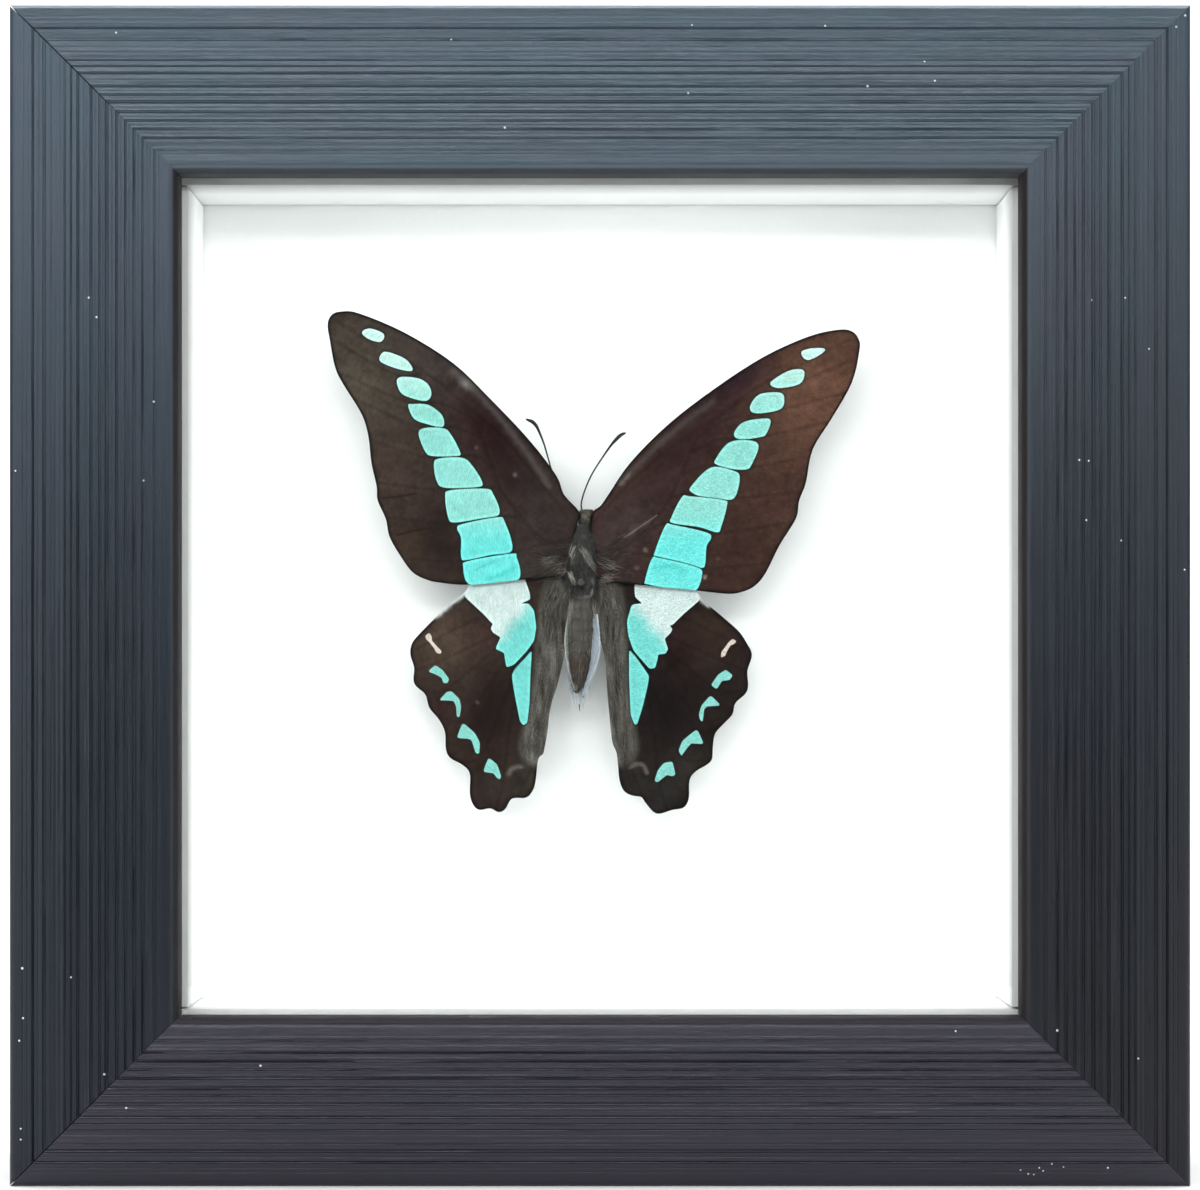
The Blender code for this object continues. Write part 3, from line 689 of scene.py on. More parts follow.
def paint_material(name, chips):
    """Satin slate paint, combed along the rail, over raw wood that shows on the back."""
    # The gloss tint differs from rail to rail as painted light: brighter on the top rail, darker on the side
    # rails.
    surface = Surface(f"{name}_paint", Specular_IOR_Level=0.95, Specular_Tint=RAIL_GLOSS_PAINTED_LIGHT[name])
    place = surface.place()
    grain = surface.vector("grain")
    finish = surface.node("ShaderNodeSeparateXYZ", {0: surface.vector("finish")}).outputs
    streak = surface.noise(surface.scaled(grain, (0.09, 5.5, 1.0)), 1.0, 4.0, 0.65)
    hair = surface.noise(surface.scaled(grain, (0.5, 22.0, 1.0)), 1.0, 2.0)
    lightness = surface.spread(streak, 0.25, 0.75, 0.72, 1.28)
    lightness = surface.maths("MULTIPLY", lightness, surface.spread(hair, 0.3, 0.7, 0.88, 1.12))
    # Painted shade: the paint is darkened towards each groove's bottom, more on the top and bottom rails.
    in_groove = surface.spread(finish["Y"], 0.0, 1.0, 1.0, GROOVE_SHADE[name])
    lightness = surface.maths("MULTIPLY", lightness, in_groove)
    painted = surface.scale_colour(slate_colour(surface, place, grain), lightness)
    # Painted shade: the lip's inner side under the sight edge is painted near black, with rougher paint there
    # too.
    uneven = surface.spread(streak, 0.3, 0.7, -0.1, 0.1)
    lip = surface.spread(surface.maths("ADD", finish["Z"], uneven), 0.2, 0.8)
    painted = surface.mix(lip, painted, rgb(26, 22, 21))
    if chips:
        painted = surface.mix(chip_mask(surface, place, chips), painted, CHIP_COLOUR)
    edge = surface.maths("ADD", finish["X"], surface.spread(streak, 0.3, 0.7, -0.25, 0.25))
    colour = surface.mix(surface.spread(edge, 0.45, 0.6), wood_colour(surface, grain), painted)
    roughness = surface.spread(streak, 0.3, 0.7, 0.30, 0.38)
    roughness = surface.maths("ADD", roughness, surface.maths("MULTIPLY", lip, 0.45))
    relief = surface.maths("ADD", streak, surface.maths("MULTIPLY", hair, 0.6))
    grit = surface.maths("MULTIPLY", surface.noise(place, 4200.0, 2.0), 0.7)
    bump = surface.bump(surface.maths("ADD", relief, grit), 0.000025)
    return surface.finish(colour, roughness, bump)


def add_rails():
    for seed, name in enumerate(RAILS, 1):
        chips = [c for c in CHIPS if chip_rail(c) == name]
        mesh = rail_mesh(name, seed)
        add_piece(f"moulding_{name}", mesh, paint_material(name, chips), "moulding", name)


def chip_rail(chip):
    x, z, _ = chip
    if abs(z) > abs(x):
        return "rail_top" if z > 0 else "rail_bottom"
    return "rail_right" if x > 0 else "rail_left"


# ---------------------------------------------------------------- glass, boards and hardware


def paper_material(name, light, dark, gradient=None):
    """White card with a fine tooth. gradient: (front depth, back depth) over which it turns from the dark
    colour to its own white; the dark is painted shade deep in the box under the frame's lip.
    """
    surface = Surface(name, Specular_IOR_Level=0.2)
    place = surface.place()
    tooth = surface.noise(place, 1800.0, 4.0)
    cloud = surface.noise(place, 60.0, 3.0)
    colour = surface.mix(surface.spread(cloud, 0.3, 0.7), light, tuple(c * 0.97 for c in light))
    # Painted shade: the card darkens towards the glass.
    if gradient:
        share = surface.spread(surface.axis(place, "Y"), FACE_Y + gradient[0] * MM, FACE_Y + gradient[1] * MM)
        colour = surface.mix(share, dark, colour)
    return surface.finish(colour, 0.8, surface.bump(tooth, 0.00003))


def glass_material():
    surface = Surface("clear_glass", Transmission_Weight=1.0, IOR=1.5, Base_Color=(0.97, 0.995, 0.985))
    place = surface.place()
    haze = surface.noise(place, 25.0, 2.0)
    surface.feed(surface.shader.inputs["Roughness"], surface.spread(haze, 0.3, 0.7, 0.0, 0.012))
    clear = surface.node("ShaderNodeBsdfTransparent", {"Color": (0.98, 0.995, 0.99)})
    shadow = surface.node("ShaderNodeLightPath").outputs["Is Shadow Ray"]
    mixed = surface.node(
        "ShaderNodeMixShader", {0: shadow, 1: surface.shader.outputs["BSDF"], 2: clear.outputs["BSDF"]}
    )
    surface.tree.links.new(mixed.outputs["Shader"], surface.output.inputs["Surface"])
    return surface.material


def hardboard_material():
    surface = Surface("pressed_hardboard", Specular_IOR_Level=0.3)
    place = surface.place()
    fibre = surface.noise(surface.scaled(place, (1.0, 1.0, 1.6)), 700.0, 5.0, 0.7)
    cloud = surface.noise(place, 45.0, 3.0)
    screen = surface.cells(surface.scaled(place, (1.0, 0.2, 1.0)), 900.0)
    colour = surface.mix(surface.spread(fibre, 0.3, 0.7), rgb(92, 62, 38), rgb(142, 104, 68))
    colour = surface.scale_colour(colour, surface.spread(cloud, 0.3, 0.7, 0.85, 1.12))
    height = surface.maths("ADD", fibre, surface.maths("MULTIPLY", screen, 0.5))
    return surface.finish(colour, surface.spread(fibre, 0.2, 0.8, 0.62, 0.85), surface.bump(height, 0.00012))


def metal_material(name, colour, tarnish, roughness):
    surface = Surface(name, Metallic=1.0)
    place = surface.place()
    cloud = surface.noise(place, 260.0, 4.0)
    scratch = surface.noise(surface.scaled(place, (0.25, 1.0, 2.5)), 2400.0, 3.0)
    tone = surface.mix(surface.spread(cloud, 0.45, 0.75), colour, tarnish)
    tone = surface.scale_colour(tone, surface.spread(scratch, 0.3, 0.7, 0.88, 1.08))
    rough = surface.spread(cloud, 0.3, 0.8, roughness - 0.08, roughness + 0.15)
    return surface.finish(tone, rough, surface.bump(scratch, 0.00001))


def rubber_material():
    surface = Surface("rubber_dot", Specular_IOR_Level=0.35)
    place = surface.place()
    dust = surface.noise(place, 1500.0, 4.0)
    colour = surface.mix(surface.spread(dust, 0.5, 0.8), rgb(38, 38, 39), rgb(72, 71, 70))
    return surface.finish(colour, surface.spread(dust, 0.3, 0.7, 0.55, 0.8), surface.bump(dust, 0.00003))


def dress_nodes(material, *names):
    """Gives CAD nodes whose shape is right a better material."""
    for name in names:
        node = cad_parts[name]
        node.data.materials.clear()
        node.data.materials.append(material)


def turned_mesh(name, profile, sides, matrix):
    """A closed turned shape from its profile of (radius, height) in mm, top to bottom."""
    rings = [(r, h) for r, h in profile if r > 0]
    vertices = [(0.0, 0.0, profile[0][1])]
    for radius, height in rings:
        for k in range(sides):
            angle = 2 * math.pi * k / sides
            vertices.append((radius * math.cos(angle), radius * math.sin(angle), height))
    vertices.append((0.0, 0.0, profile[-1][1]))
    placed = [matrix @ (Vector(v) * MM) for v in vertices]
    mesh = new_mesh(name, placed, pointed_faces(len(rings), sides))
    face_outwards(mesh)
    mesh.set_sharp_from_angle(angle=math.radians(40))
    return mesh


def facing(x, depth, z, towards_wall):
    """A turned piece's place, its top towards the glass or towards the wall."""
    angle = -90 if towards_wall else 90
    place = Vector((x * MM, FACE_Y + depth * MM, CENTRE_Z + z * MM))
    return Matrix.Translation(place) @ Matrix.Rotation(math.radians(angle), 4, "X")


def add_bumpers():
    """Domed rubber dots, each moulded with a small rim."""
    height, radius = 2.2, 4.5
    profile = [(0.0, height), (1.2, height), (2.2, 2.17), (3.0, 2.05), (3.6, 1.8), (4.05, 1.4), (4.3, 0.95),
               (4.38, 0.55), (4.45, 0.45), (radius, 0.3), (radius, 0.1), (4.4, 0.0), (0.0, 0.0)]
    material = rubber_material()
    for side_name, side in (("left", -1), ("right", 1)):
        place = facing(side * (HALF_SIDE - 8.6), FRAME_DEPTH + GAP, 8.6 - HALF_SIDE, True)
        mesh = turned_mesh(f"bumper_{side_name}", profile, 48, place)
        add_piece(f"rubber_dot_{side_name}", mesh, material, "rubber", f"bumper_{side_name}")


def add_nails(material):
    profile = [(0.0, 0.60), (0.6, 0.57), (1.0, 0.48), (1.3, 0.33), (1.46, 0.16), (1.5, 0.05), (1.46, 0.0),
               (0.6, 0.0), (0.6, -7.5), (0.3, -8.3), (0.0, -9.0)]
    for side_name, side in (("left", -1), ("right", 1)):
        place = facing(side * 19.6, FRAME_DEPTH + 0.8 + 2 * GAP, HALF_SIDE - RABBET_START / 2, True)
        mesh = turned_mesh(f"nail_{side_name}", profile, 28, place)
        add_piece(f"hanger_pin_nail_{side_name}", mesh, material, "hanger_steel", f"hanger_nail_{side_name}")


def add_pin():
    """The black enamelled insect pin with its ball head."""
    radius = 0.6
    ball = [(radius * math.sin(a), radius * math.cos(a) - radius) for a in np.linspace(0, 2.65, 14)]
    profile = [(0.0, 0.0), *ball[1:], (0.25, ball[-1][1] - 0.15), (0.25, -13.4), (0.0, -14.6)]
    surface = Surface("pin_enamel", Metallic=0.2, Coat_Weight=0.6)
    fleck = surface.noise(surface.place(), 3000.0, 3.0)
    colour = surface.mix(surface.spread(fleck, 0.5, 0.8), rgb(20, 20, 22), rgb(58, 56, 56))
    material = surface.finish(colour, surface.spread(fleck, 0.3, 0.7, 0.12, 0.25))
    place = facing(THORAX[0], PIN_TOP_DEPTH, THORAX[1] + PIN_RISE, False)
    mesh = turned_mesh("pin", profile, 28, place)
    add_piece("enamelled_pin", mesh, material, "pin", "insect_pin")


def dress_box():
    white = (0.88, 0.88, 0.88)
    # The spacers' grey towards the glass is painted shade under the frame's lip.
    spacer = paper_material("spacer_card_painted_shade", (0.93, 0.93, 0.93), rgb(158, 157, 157), (6.0, 15.0))
    dress_nodes(spacer, "spacer_top", "spacer_bottom", "spacer_left", "spacer_right")
    dress_nodes(paper_material("mount_card", white, white), "mount_board")
    dress_nodes(glass_material(), "glass_pane")
    dress_nodes(hardboard_material(), "back_board")
    steel = metal_material("galvanised_steel", (0.56, 0.57, 0.58), (0.36, 0.36, 0.35), 0.34)
    dress_nodes(steel, *[f"retainer_tab_{i}" for i in range(1, 9)])
    brass = metal_material("brassed_steel", (0.62, 0.54, 0.36), (0.40, 0.33, 0.20), 0.28)
    dress_nodes(brass, "sawtooth_hanger")
    add_nails(brass)
    add_bumpers()


# ---------------------------------------------------------------- shapes of the insect


# The insect's colours are written as they look under the studio light, gloss and all
PAINT_STRENGTH = 0.60
GLOSS_VEIL = 0.008


class Shape:
    """Vertices, faces and colours gathered for one piece, in the insect's drawing: (x, depth, z) in mm."""

    def __init__(self):
        self.vertices, self.faces, self.colours, self.grain, self.uv = [], [], [], [], []
        self.count = 0

    def add(self, vertices, faces, colours, grain, uv):
        """faces: rows of vertex numbers counted from this batch. uv: one place a vertex."""
        self.vertices.append(np.asarray(vertices, float))
        self.faces += [tuple(int(k) + self.count for k in face) for face in faces]
        self.colours.append(np.broadcast_to(np.asarray(colours, float), (len(vertices), 3)))
        self.grain.append(np.asarray(grain, float))
        self.uv.append(np.asarray(uv, float))
        self.count += len(vertices)

    def mesh(self, name):
        points = np.vstack(self.vertices)
        placed = insect_points(points[:, 0], points[:, 2], points[:, 1])
        mesh = new_mesh(name, placed, self.faces)
        paint = (np.vstack(self.colours) - GLOSS_VEIL) * PAINT_STRENGTH
        set_colours(mesh, "paint", np.clip(paint, 0.001, 1.0))
        set_vectors(mesh, "grain", np.vstack(self.grain))
        layer = mesh.uv_layers.new(name="OFBake")
        numbers = np.zeros(len(mesh.loops), np.int32)
        mesh.loops.foreach_get("vertex_index", numbers)
        layer.data.foreach_set("uv", np.vstack(self.uv)[numbers].astype(np.float32).ravel())
        return mesh


HAIR_RINGS = 4
HAIR_POINTS = HAIR_RINGS * 3 + 1
PALETTE = 8  # cells each way in the corner of the texture that holds the hairs


def hair_faces(count):
    """The faces of a number of hairs, three sides each, closed at the root and pointed at the tip."""
    pattern = [(2, 1, 0), *tube_sides(HAIR_RINGS, 3)]
    last = (HAIR_RINGS - 1) * 3
    pattern += [(last + k, last + (k + 1) % 3, last + 3) for k in range(3)]
    return [tuple(n + hair * HAIR_POINTS for n in face) for hair in range(count) for face in pattern]


def hair_texture_places(shade):
    """Each hair's points in the texture's corner, in the cell that its shade picks."""
    cell = np.clip((shade * PALETTE * PALETTE).astype(int), 0, PALETTE * PALETTE - 1)
    column, row = cell % PALETTE, cell // PALETTE
    ring_of = np.concatenate([np.repeat(np.arange(HAIR_RINGS), 3), [HAIR_RINGS]]) / HAIR_RINGS
    across = np.concatenate([np.tile([0.2, 0.5, 0.8], HAIR_RINGS), [0.5]])
    size = 0.24 / PALETTE
    u = 0.75 + size * (column[:, None] + across[None])
    v = 0.75 + size * (row[:, None] + 0.1 + 0.8 * ring_of[None])
    return np.stack([u, v], axis=-1).reshape(-1, 2)


def add_hairs(shape, roots, directions, lengths, thickness, bend, colours, shade):
    """Tapered three-sided hairs. roots, directions and bend are rows of (x, depth, z).
    shade: 0 to 1 for each hair, which picks its place in the texture."""
    count = len(roots)
    directions = directions / np.linalg.norm(directions, axis=1, keepdims=True)
    side = np.cross(directions, np.array([0.31, -0.9, 0.27]))
    side /= np.linalg.norm(side, axis=1, keepdims=True)
    other = np.cross(directions, side)
    vertices = np.zeros((count, HAIR_POINTS, 3))
    tints = np.zeros_like(vertices)
    for ring in range(HAIR_RINGS + 1):
        t = ring / HAIR_RINGS
        middle = roots + directions * (lengths * t)[:, None] + bend * (lengths * t**2)[:, None]
        tone = colours * (0.62 + 0.38 * min(1.0, t * 2.5))
        if ring == HAIR_RINGS:
            vertices[:, -1], tints[:, -1] = middle, tone
            break
        for k in range(3):
            angle = 2 * math.pi * k / 3
            spoke = side * math.cos(angle) + other * math.sin(angle)
            vertices[:, ring * 3 + k] = middle + spoke * thickness * (1 - 0.72 * t)
            tints[:, ring * 3 + k] = tone
    grain = np.stack([roots[:, 0], roots[:, 2], np.full(count, 50.0)], axis=1)
    grain = np.repeat(grain, HAIR_POINTS, axis=0)
    uv = hair_texture_places(shade)
    shape.add(vertices.reshape(-1, 3), hair_faces(count), tints.reshape(-1, 3), grain, uv)


def furry_material(name, roughness, specular, scale_contrast):
    """Surface covered in fine scales or down, coloured by the piece's own paint."""
    surface = Surface(name, Specular_IOR_Level=specular)
    grain = surface.vector("grain")
    sockets = {"Vector": surface.scaled(grain, (7.0, 13.0, 1.0)), "Scale": 1.0}
    cells = surface.node("ShaderNodeTexVoronoi", sockets).outputs
    scale_edge = cells["Distance"]
    tint = surface.node("ShaderNodeSeparateColor", {0: cells["Color"]}).outputs[0]
    cloud = surface.noise(grain, 2.2, 3.0)
    shade = surface.spread(tint, 0.0, 1.0, 1 - scale_contrast, 1 + scale_contrast)
    shade = surface.maths("MULTIPLY", shade, surface.spread(cloud, 0.3, 0.7, 0.93, 1.07))
    shade = surface.maths("MULTIPLY", shade, surface.spread(scale_edge, 0.2, 0.8, 1.04, 0.9))
    colour = surface.scale_colour(surface.colour("paint"), shade)
    rough = surface.spread(tint, 0.0, 1.0, roughness - 0.08, roughness + 0.08)
    return surface.finish(colour, rough, surface.bump(scale_edge, 0.00002, 0.6))


# ---------------------------------------------------------------- wings

# Each outline runs from the root along the front edge, round the tip and back along the hind edge
FOREWING_LEFT = [
    (-0.3, 8.6), (-2.3, 10.9), (-3.3, 13.4), (-6.9, 18.1), (-12.0, 23.5), (-17.0, 28.3),
    (-23.4, 32.3), (-29.3, 34.8), (-31.6, 35.1), (-33.0, 34.7), (-33.6, 33.4), (-33.3, 31.3),
    (-32.6, 27.7), (-31.5, 25.4), (-29.1, 21.5), (-28.2, 18.5), (-27.8, 15.0), (-27.1, 11.9),
    (-27.0, 10.1), (-25.9, 7.6), (-25.4, 5.2), (-23.7, 2.3), (-22.3, 0.5), (-20.6, -0.4),
    (-18.9, -0.8), (-15.0, -1.1), (-8.6, -0.5), (-1.8, 0.4), (-1.2, 4.0), (-0.5, 7.0),
]

FOREWING_RIGHT = [
    (1.4, 8.2), (2.6, 9.4), (3.7, 11.0), (6.6, 15.2), (11.7, 20.3), (17.7, 24.9), (24.2, 29.1),
    (30.2, 31.8), (34.3, 32.7), (36.0, 32.4), (36.8, 31.4), (36.9, 30.0), (35.9, 25.7),
    (33.2, 20.9), (30.7, 16.8), (29.8, 12.4), (28.9, 10.0), (28.5, 7.7), (26.3, 4.1), (24.5, 0.5),
    (23.1, -1.2), (21.5, -2.0), (19.3, -2.3), (13.9, -1.7), (8.8, -1.2), (1.9, -0.2), (1.2, 4.0),
]

HINDWING_LEFT = [
    (-1.8, 2.0), (-6.0, 3.4), (-11.0, 2.4), (-14.3, 0.1), (-15.6, -2.2), (-17.6, -3.7),
    (-21.3, -7.4), (-22.5, -8.9), (-22.7, -10.4), (-22.2, -12.1), (-22.3, -13.7), (-21.9, -14.6),
    (-20.7, -15.7), (-20.2, -17.4), (-18.9, -19.0), (-18.1, -20.7), (-18.0, -22.9),
    (-17.4, -24.1), (-15.8, -25.0), (-14.8, -26.2), (-14.8, -28.9), (-14.3, -30.4),
    (-13.5, -31.0), (-12.1, -30.8), (-11.0, -31.3), (-10.1, -30.9), (-9.2, -29.5), (-7.4, -29.4),
    (-6.6, -28.7), (-6.1, -27.4), (-5.8, -24.7), (-5.5, -23.9), (-5.1, -23.6), (-4.9, -22.9),
    (-4.5, -20.7), (-4.1, -17.4), (-3.2, -14.5), (-2.4, -11.2), (-2.0, -9.0), (-1.6, -6.8), (-1.3, -3.0),
]

HINDWING_RIGHT = [
    (1.8, 1.6), (7.0, 2.8), (12.0, 1.6), (14.7, -0.6), (15.8, -2.8), (17.2, -4.0), (20.7, -7.0),
    (22.0, -8.8), (22.7, -10.4), (22.1, -12.5), (22.2, -14.5), (21.8, -15.6), (20.5, -16.8),
    (20.1, -18.3), (18.9, -19.6), (17.8, -20.9), (17.5, -22.7), (17.4, -24.2), (16.7, -25.0),
    (15.2, -25.9), (14.4, -27.1), (14.3, -29.5), (13.6, -30.7), (12.1, -31.0), (10.0, -31.5),
    (8.5, -30.0), (8.0, -29.3), (6.8, -29.1), (5.7, -28.5), (5.1, -27.1), (4.9, -25.1),
    (4.7, -23.4), (4.2, -22.2), (3.9, -20.1), (3.4, -14.5), (3.2, -11.2), (2.7, -9.0), (1.7, -6.2),
    (1.3, -3.0),
]

# The forewings' row of spots, from the tip to the hind edge
SPOTS_LEFT = [
    [(-29.0, 32.3), (-28.0, 32.8), (-26.2, 32.1), (-26.6, 31.1), (-28.2, 31.5)],
    [(-26.7, 28.9), (-26.1, 29.7), (-24.7, 29.4), (-23.1, 28.6), (-22.4, 27.3), (-24.2, 27.5), (-26.3, 28.3)],
    [(-24.4, 25.9), (-23.7, 26.4), (-21.6, 26.2), (-20.3, 25.4), (-19.9, 24.1), (-20.6, 23.3), (-22.6, 23.7),
     (-23.9, 24.4)],
    [(-22.9, 22.6), (-22.4, 22.8), (-20.3, 22.7), (-18.6, 21.5), (-18.2, 20.3), (-18.6, 19.8), (-20.3, 20.2),
     (-22.1, 20.9)],
    [(-21.5, 18.8), (-20.9, 19.6), (-18.3, 19.6), (-17.3, 18.8), (-16.1, 16.5), (-16.5, 16.0), (-19.6, 16.0),
     (-20.6, 16.5)],
    [(-19.5, 14.9), (-18.8, 15.6), (-15.8, 15.7), (-14.5, 14.7), (-13.2, 12.6), (-13.7, 11.9), (-18.0, 11.8),
     (-19.1, 12.6)],
    [(-18.0, 10.6), (-17.3, 11.4), (-12.7, 11.6), (-11.7, 10.9), (-10.9, 8.3), (-13.5, 7.7), (-16.8, 7.2),
     (-17.6, 7.8)],
    [(-16.4, 6.3), (-15.8, 6.9), (-11.2, 7.8), (-10.2, 7.3), (-9.2, 3.5), (-12.0, 2.9), (-15.3, 2.2),
     (-15.9, 2.7), (-15.9, 5.1)],
    [(-15.6, 1.2), (-15.0, 2.0), (-9.2, 3.0), (-8.6, 2.5), (-8.1, 0.4), (-8.9, -0.6), (-13.2, -1.1),
     (-15.1, -0.8)],
]

SPOTS_RIGHT = [
    [(29.3, 29.8), (30.7, 30.2), (32.3, 30.1), (31.5, 29.3), (30.1, 28.7), (29.4, 29.1)],
    [(25.1, 25.6), (26.7, 26.8), (28.3, 27.4), (29.5, 27.2), (29.3, 25.9), (28.3, 25.3), (26.1, 25.0)],
    [(22.5, 22.7), (23.7, 24.1), (26.4, 24.3), (26.9, 23.3), (26.4, 22.2), (24.2, 21.7), (22.7, 21.8)],
    [(20.3, 18.9), (21.5, 20.4), (24.2, 20.9), (25.1, 20.6), (24.5, 18.9), (23.7, 18.5), (21.2, 18.2)],
    [(17.8, 15.4), (19.6, 17.7), (22.3, 18.0), (23.5, 17.3), (22.6, 14.9), (21.8, 14.2), (19.3, 14.4),
     (18.0, 14.9)],
    [(14.6, 11.9), (17.2, 14.4), (20.1, 14.0), (21.0, 13.2), (20.4, 10.6), (19.0, 10.2), (16.1, 10.6),
     (14.7, 11.2)],
    [(12.0, 7.8), (13.4, 10.5), (14.4, 10.6), (18.8, 10.1), (19.3, 9.4), (18.5, 6.5), (18.0, 5.9),
     (15.6, 6.6), (12.2, 7.1)],
    [(9.8, 3.2), (11.2, 6.7), (12.2, 6.8), (16.6, 5.8), (17.2, 5.1), (16.6, 4.0), (16.4, 1.6), (15.8, 1.2),
     (13.4, 1.9), (10.0, 2.7)],
    [(8.5, -0.6), (9.4, 2.3), (10.4, 2.4), (15.3, 1.2), (16.0, 0.2), (15.0, -2.0), (12.2, -1.6), (8.8, -1.0)],
]

# The hindwings' big pale lobe, the long spot of the cell, and the row of crescents
LOBE_LEFT = [
    (-15.6, -2.5), (-14.3, 0.4), (-7.9, 0.8), (-7.5, -0.4), (-6.9, -2.1), (-6.8, -3.0), (-8.2, -3.6),
    (-7.0, -3.6), (-6.3, -4.5), (-6.0, -6.7), (-6.3, -8.5), (-7.3, -9.9), (-9.0, -11.7), (-9.9, -12.0),
    (-10.1, -11.0),
    (-10.2, -10.1), (-11.3, -9.6), (-11.2, -9.2), (-10.7, -8.1), (-10.9, -7.9), (-11.7, -7.4), (-12.0, -6.9),
    (-11.7, -6.2), (-11.8, -6.2), (-12.9, -5.0), (-14.2, -3.8),
]
LOBE_RIGHT = [
    (7.2, -2.7), (7.1, -1.2), (7.7, 0.0), (14.2, -0.6), (15.8, -2.5), (15.6, -3.2), (13.6, -4.9),
    (12.2, -6.3), (11.7, -6.5), (12.1, -7.0), (11.8, -7.5), (11.1, -8.2), (11.1, -8.4), (11.5, -9.6),
    (11.2, -10.2),
    (10.2, -10.3), (10.1, -11.0), (9.8, -12.1), (9.1, -12.2), (8.2, -11.2), (7.0, -9.8), (6.3, -7.9),
    (6.1, -6.0), (6.7, -3.9), (7.0, -3.7), (8.2, -3.6),
]
CELL_LEFT = [
    (-6.6, -9.8), (-6.8, -13.4), (-6.9, -16.8), (-7.2, -19.4), (-7.7, -19.7), (-8.1, -19.2), (-8.8, -15.7),
    (-9.2, -13.2), (-8.8, -12.1), (-7.4, -10.8),
]
CELL_RIGHT = [
    (6.4, -9.7), (7.2, -10.6), (9.0, -13.2), (8.8, -14.5), (8.1, -17.4), (7.4, -19.6), (7.1, -19.6),
    (6.6, -18.3), (6.4, -13.4),
]
CRESCENTS_LEFT = [
    [(-20.3, -12.6), (-19.4, -11.8), (-18.5, -12.4), (-17.6, -13.6), (-17.8, -14.1), (-18.3, -14.1),
     (-18.5, -13.4), (-19.4, -12.9)],
    [(-18.8, -16.4), (-17.8, -15.3), (-17.2, -15.3), (-16.2, -16.3), (-16.0, -17.4), (-16.2, -18.6),
     (-16.5, -18.6), (-16.6, -17.2), (-16.9, -16.5), (-17.8, -16.4)],
    [(-16.5, -21.4), (-15.8, -19.6), (-15.4, -19.7), (-14.1, -20.9), (-13.5, -22.1), (-13.6, -23.5),
     (-14.0, -23.4), (-14.5, -21.8), (-14.9, -21.5)],
    [(-13.0, -25.9), (-12.3, -24.1), (-11.2, -25.0), (-10.7, -26.5), (-10.8, -26.9), (-11.2, -26.7),
     (-11.6, -26.1)],
]
CRESCENTS_RIGHT = [
    [(17.3, -14.4), (18.2, -13.1), (19.2, -12.4), (20.1, -13.1), (19.7, -13.7), (18.7, -13.8), (18.0, -14.9)],
    [(15.7, -18.3), (16.0, -17.2), (17.2, -15.8), (18.5, -17.1), (16.7, -17.2), (16.3, -17.6), (16.1, -19.3),
     (15.8, -18.9)],
    [(13.0, -23.1), (13.5, -21.8), (15.4, -20.3), (16.2, -22.1), (16.0, -22.2), (14.6, -22.1), (14.0, -22.8),
     (13.3, -23.8)],
    [(9.8, -27.1), (10.2, -25.8), (11.0, -24.8), (12.1, -24.6), (12.5, -26.3), (12.1, -26.5), (11.4, -26.3),
     (10.1, -27.3)],
]
TICK_LEFT = [
    (-20.7, -7.9), (-20.2, -7.5), (-19.9, -8.0), (-19.9, -8.5), (-19.2, -9.3), (-18.6, -9.9), (-18.7, -10.2),
    (-19.2, -10.1), (-19.5, -9.5), (-20.2, -8.6), (-20.5, -8.4),
]
TICK_RIGHT = [
    (18.6, -10.7), (18.7, -10.0), (19.1, -9.5), (19.5, -8.9), (20.1, -8.3), (20.6, -8.6), (20.3, -8.9),
    (19.8, -9.1), (19.4, -9.8), (19.1, -10.5),
]

FOREWING_VEINS_LEFT = [
    [(-1.6, 7.6), (-6.0, 13.3), (-10.5, 18.6), (-15.4, 22.9)],
    [(-15.4, 22.9), (-21.5, 27.6), (-27.2, 30.5), (-32.6, 34.0)],
    [(-15.2, 22.6), (-20.0, 26.5), (-25.2, 27.0), (-33.0, 31.4)],
    [(-14.2, 20.9), (-18.5, 22.9), (-23.5, 23.3), (-32.0, 27.0)],
    [(-13.2, 18.4), (-17.3, 19.9), (-21.7, 19.9), (-30.2, 23.6)],
    [(-12.1, 15.3), (-15.0, 16.1), (-20.5, 15.8), (-27.9, 18.1)],
    [(-10.6, 11.6), (-12.8, 11.9), (-18.6, 11.5), (-26.8, 12.4)],
    [(-7.7, 7.6), (-10.6, 8.0), (-17.0, 7.1), (-25.6, 7.8)],
    [(-4.4, 4.4), (-9.0, 3.2), (-15.6, 2.0), (-23.2, 2.4)],
    [(-1.8, 1.6), (-8.4, 0.1), (-14.5, -0.7), (-19.0, -0.4)],
    [(-1.6, 5.0), (-4.4, 4.6), (-7.7, 7.6), (-10.6, 11.5), (-12.1, 15.3), (-13.2, 18.4), (-14.2, 20.9),
     (-15.2, 22.6)],
]
FOREWING_VEINS_RIGHT = [
    [(1.8, 7.4), (7.0, 13.0), (12.0, 17.2), (17.0, 20.5)],
    [(17.0, 20.5), (23.5, 25.2), (29.8, 28.4), (35.6, 31.4)],
    [(17.0, 20.3), (22.0, 23.6), (26.6, 24.8), (36.0, 28.7)],
    [(15.5, 18.7), (19.5, 20.9), (23.7, 21.4), (34.8, 24.3)],
    [(14.5, 16.5), (18.5, 18.3), (22.3, 18.2), (32.5, 20.4)],
    [(13.3, 13.6), (16.6, 14.7), (20.5, 14.2), (30.0, 15.8)],
    [(11.5, 10.2), (13.6, 10.9), (19.3, 10.3), (28.9, 11.2)],
    [(8.5, 6.0), (11.8, 6.95), (17.6, 5.7), (27.9, 7.2)],
    [(5.0, 3.4), (9.7, 2.6), (15.8, 1.1), (25.0, 1.8)],
    [(1.9, 1.2), (8.7, -0.6), (15.0, -1.8), (20.2, -1.9)],
    [(1.8, 4.2), (5.0, 3.6), (8.5, 6.2), (11.5, 10.0), (13.3, 13.6), (14.5, 16.5), (15.5, 18.7)],
]
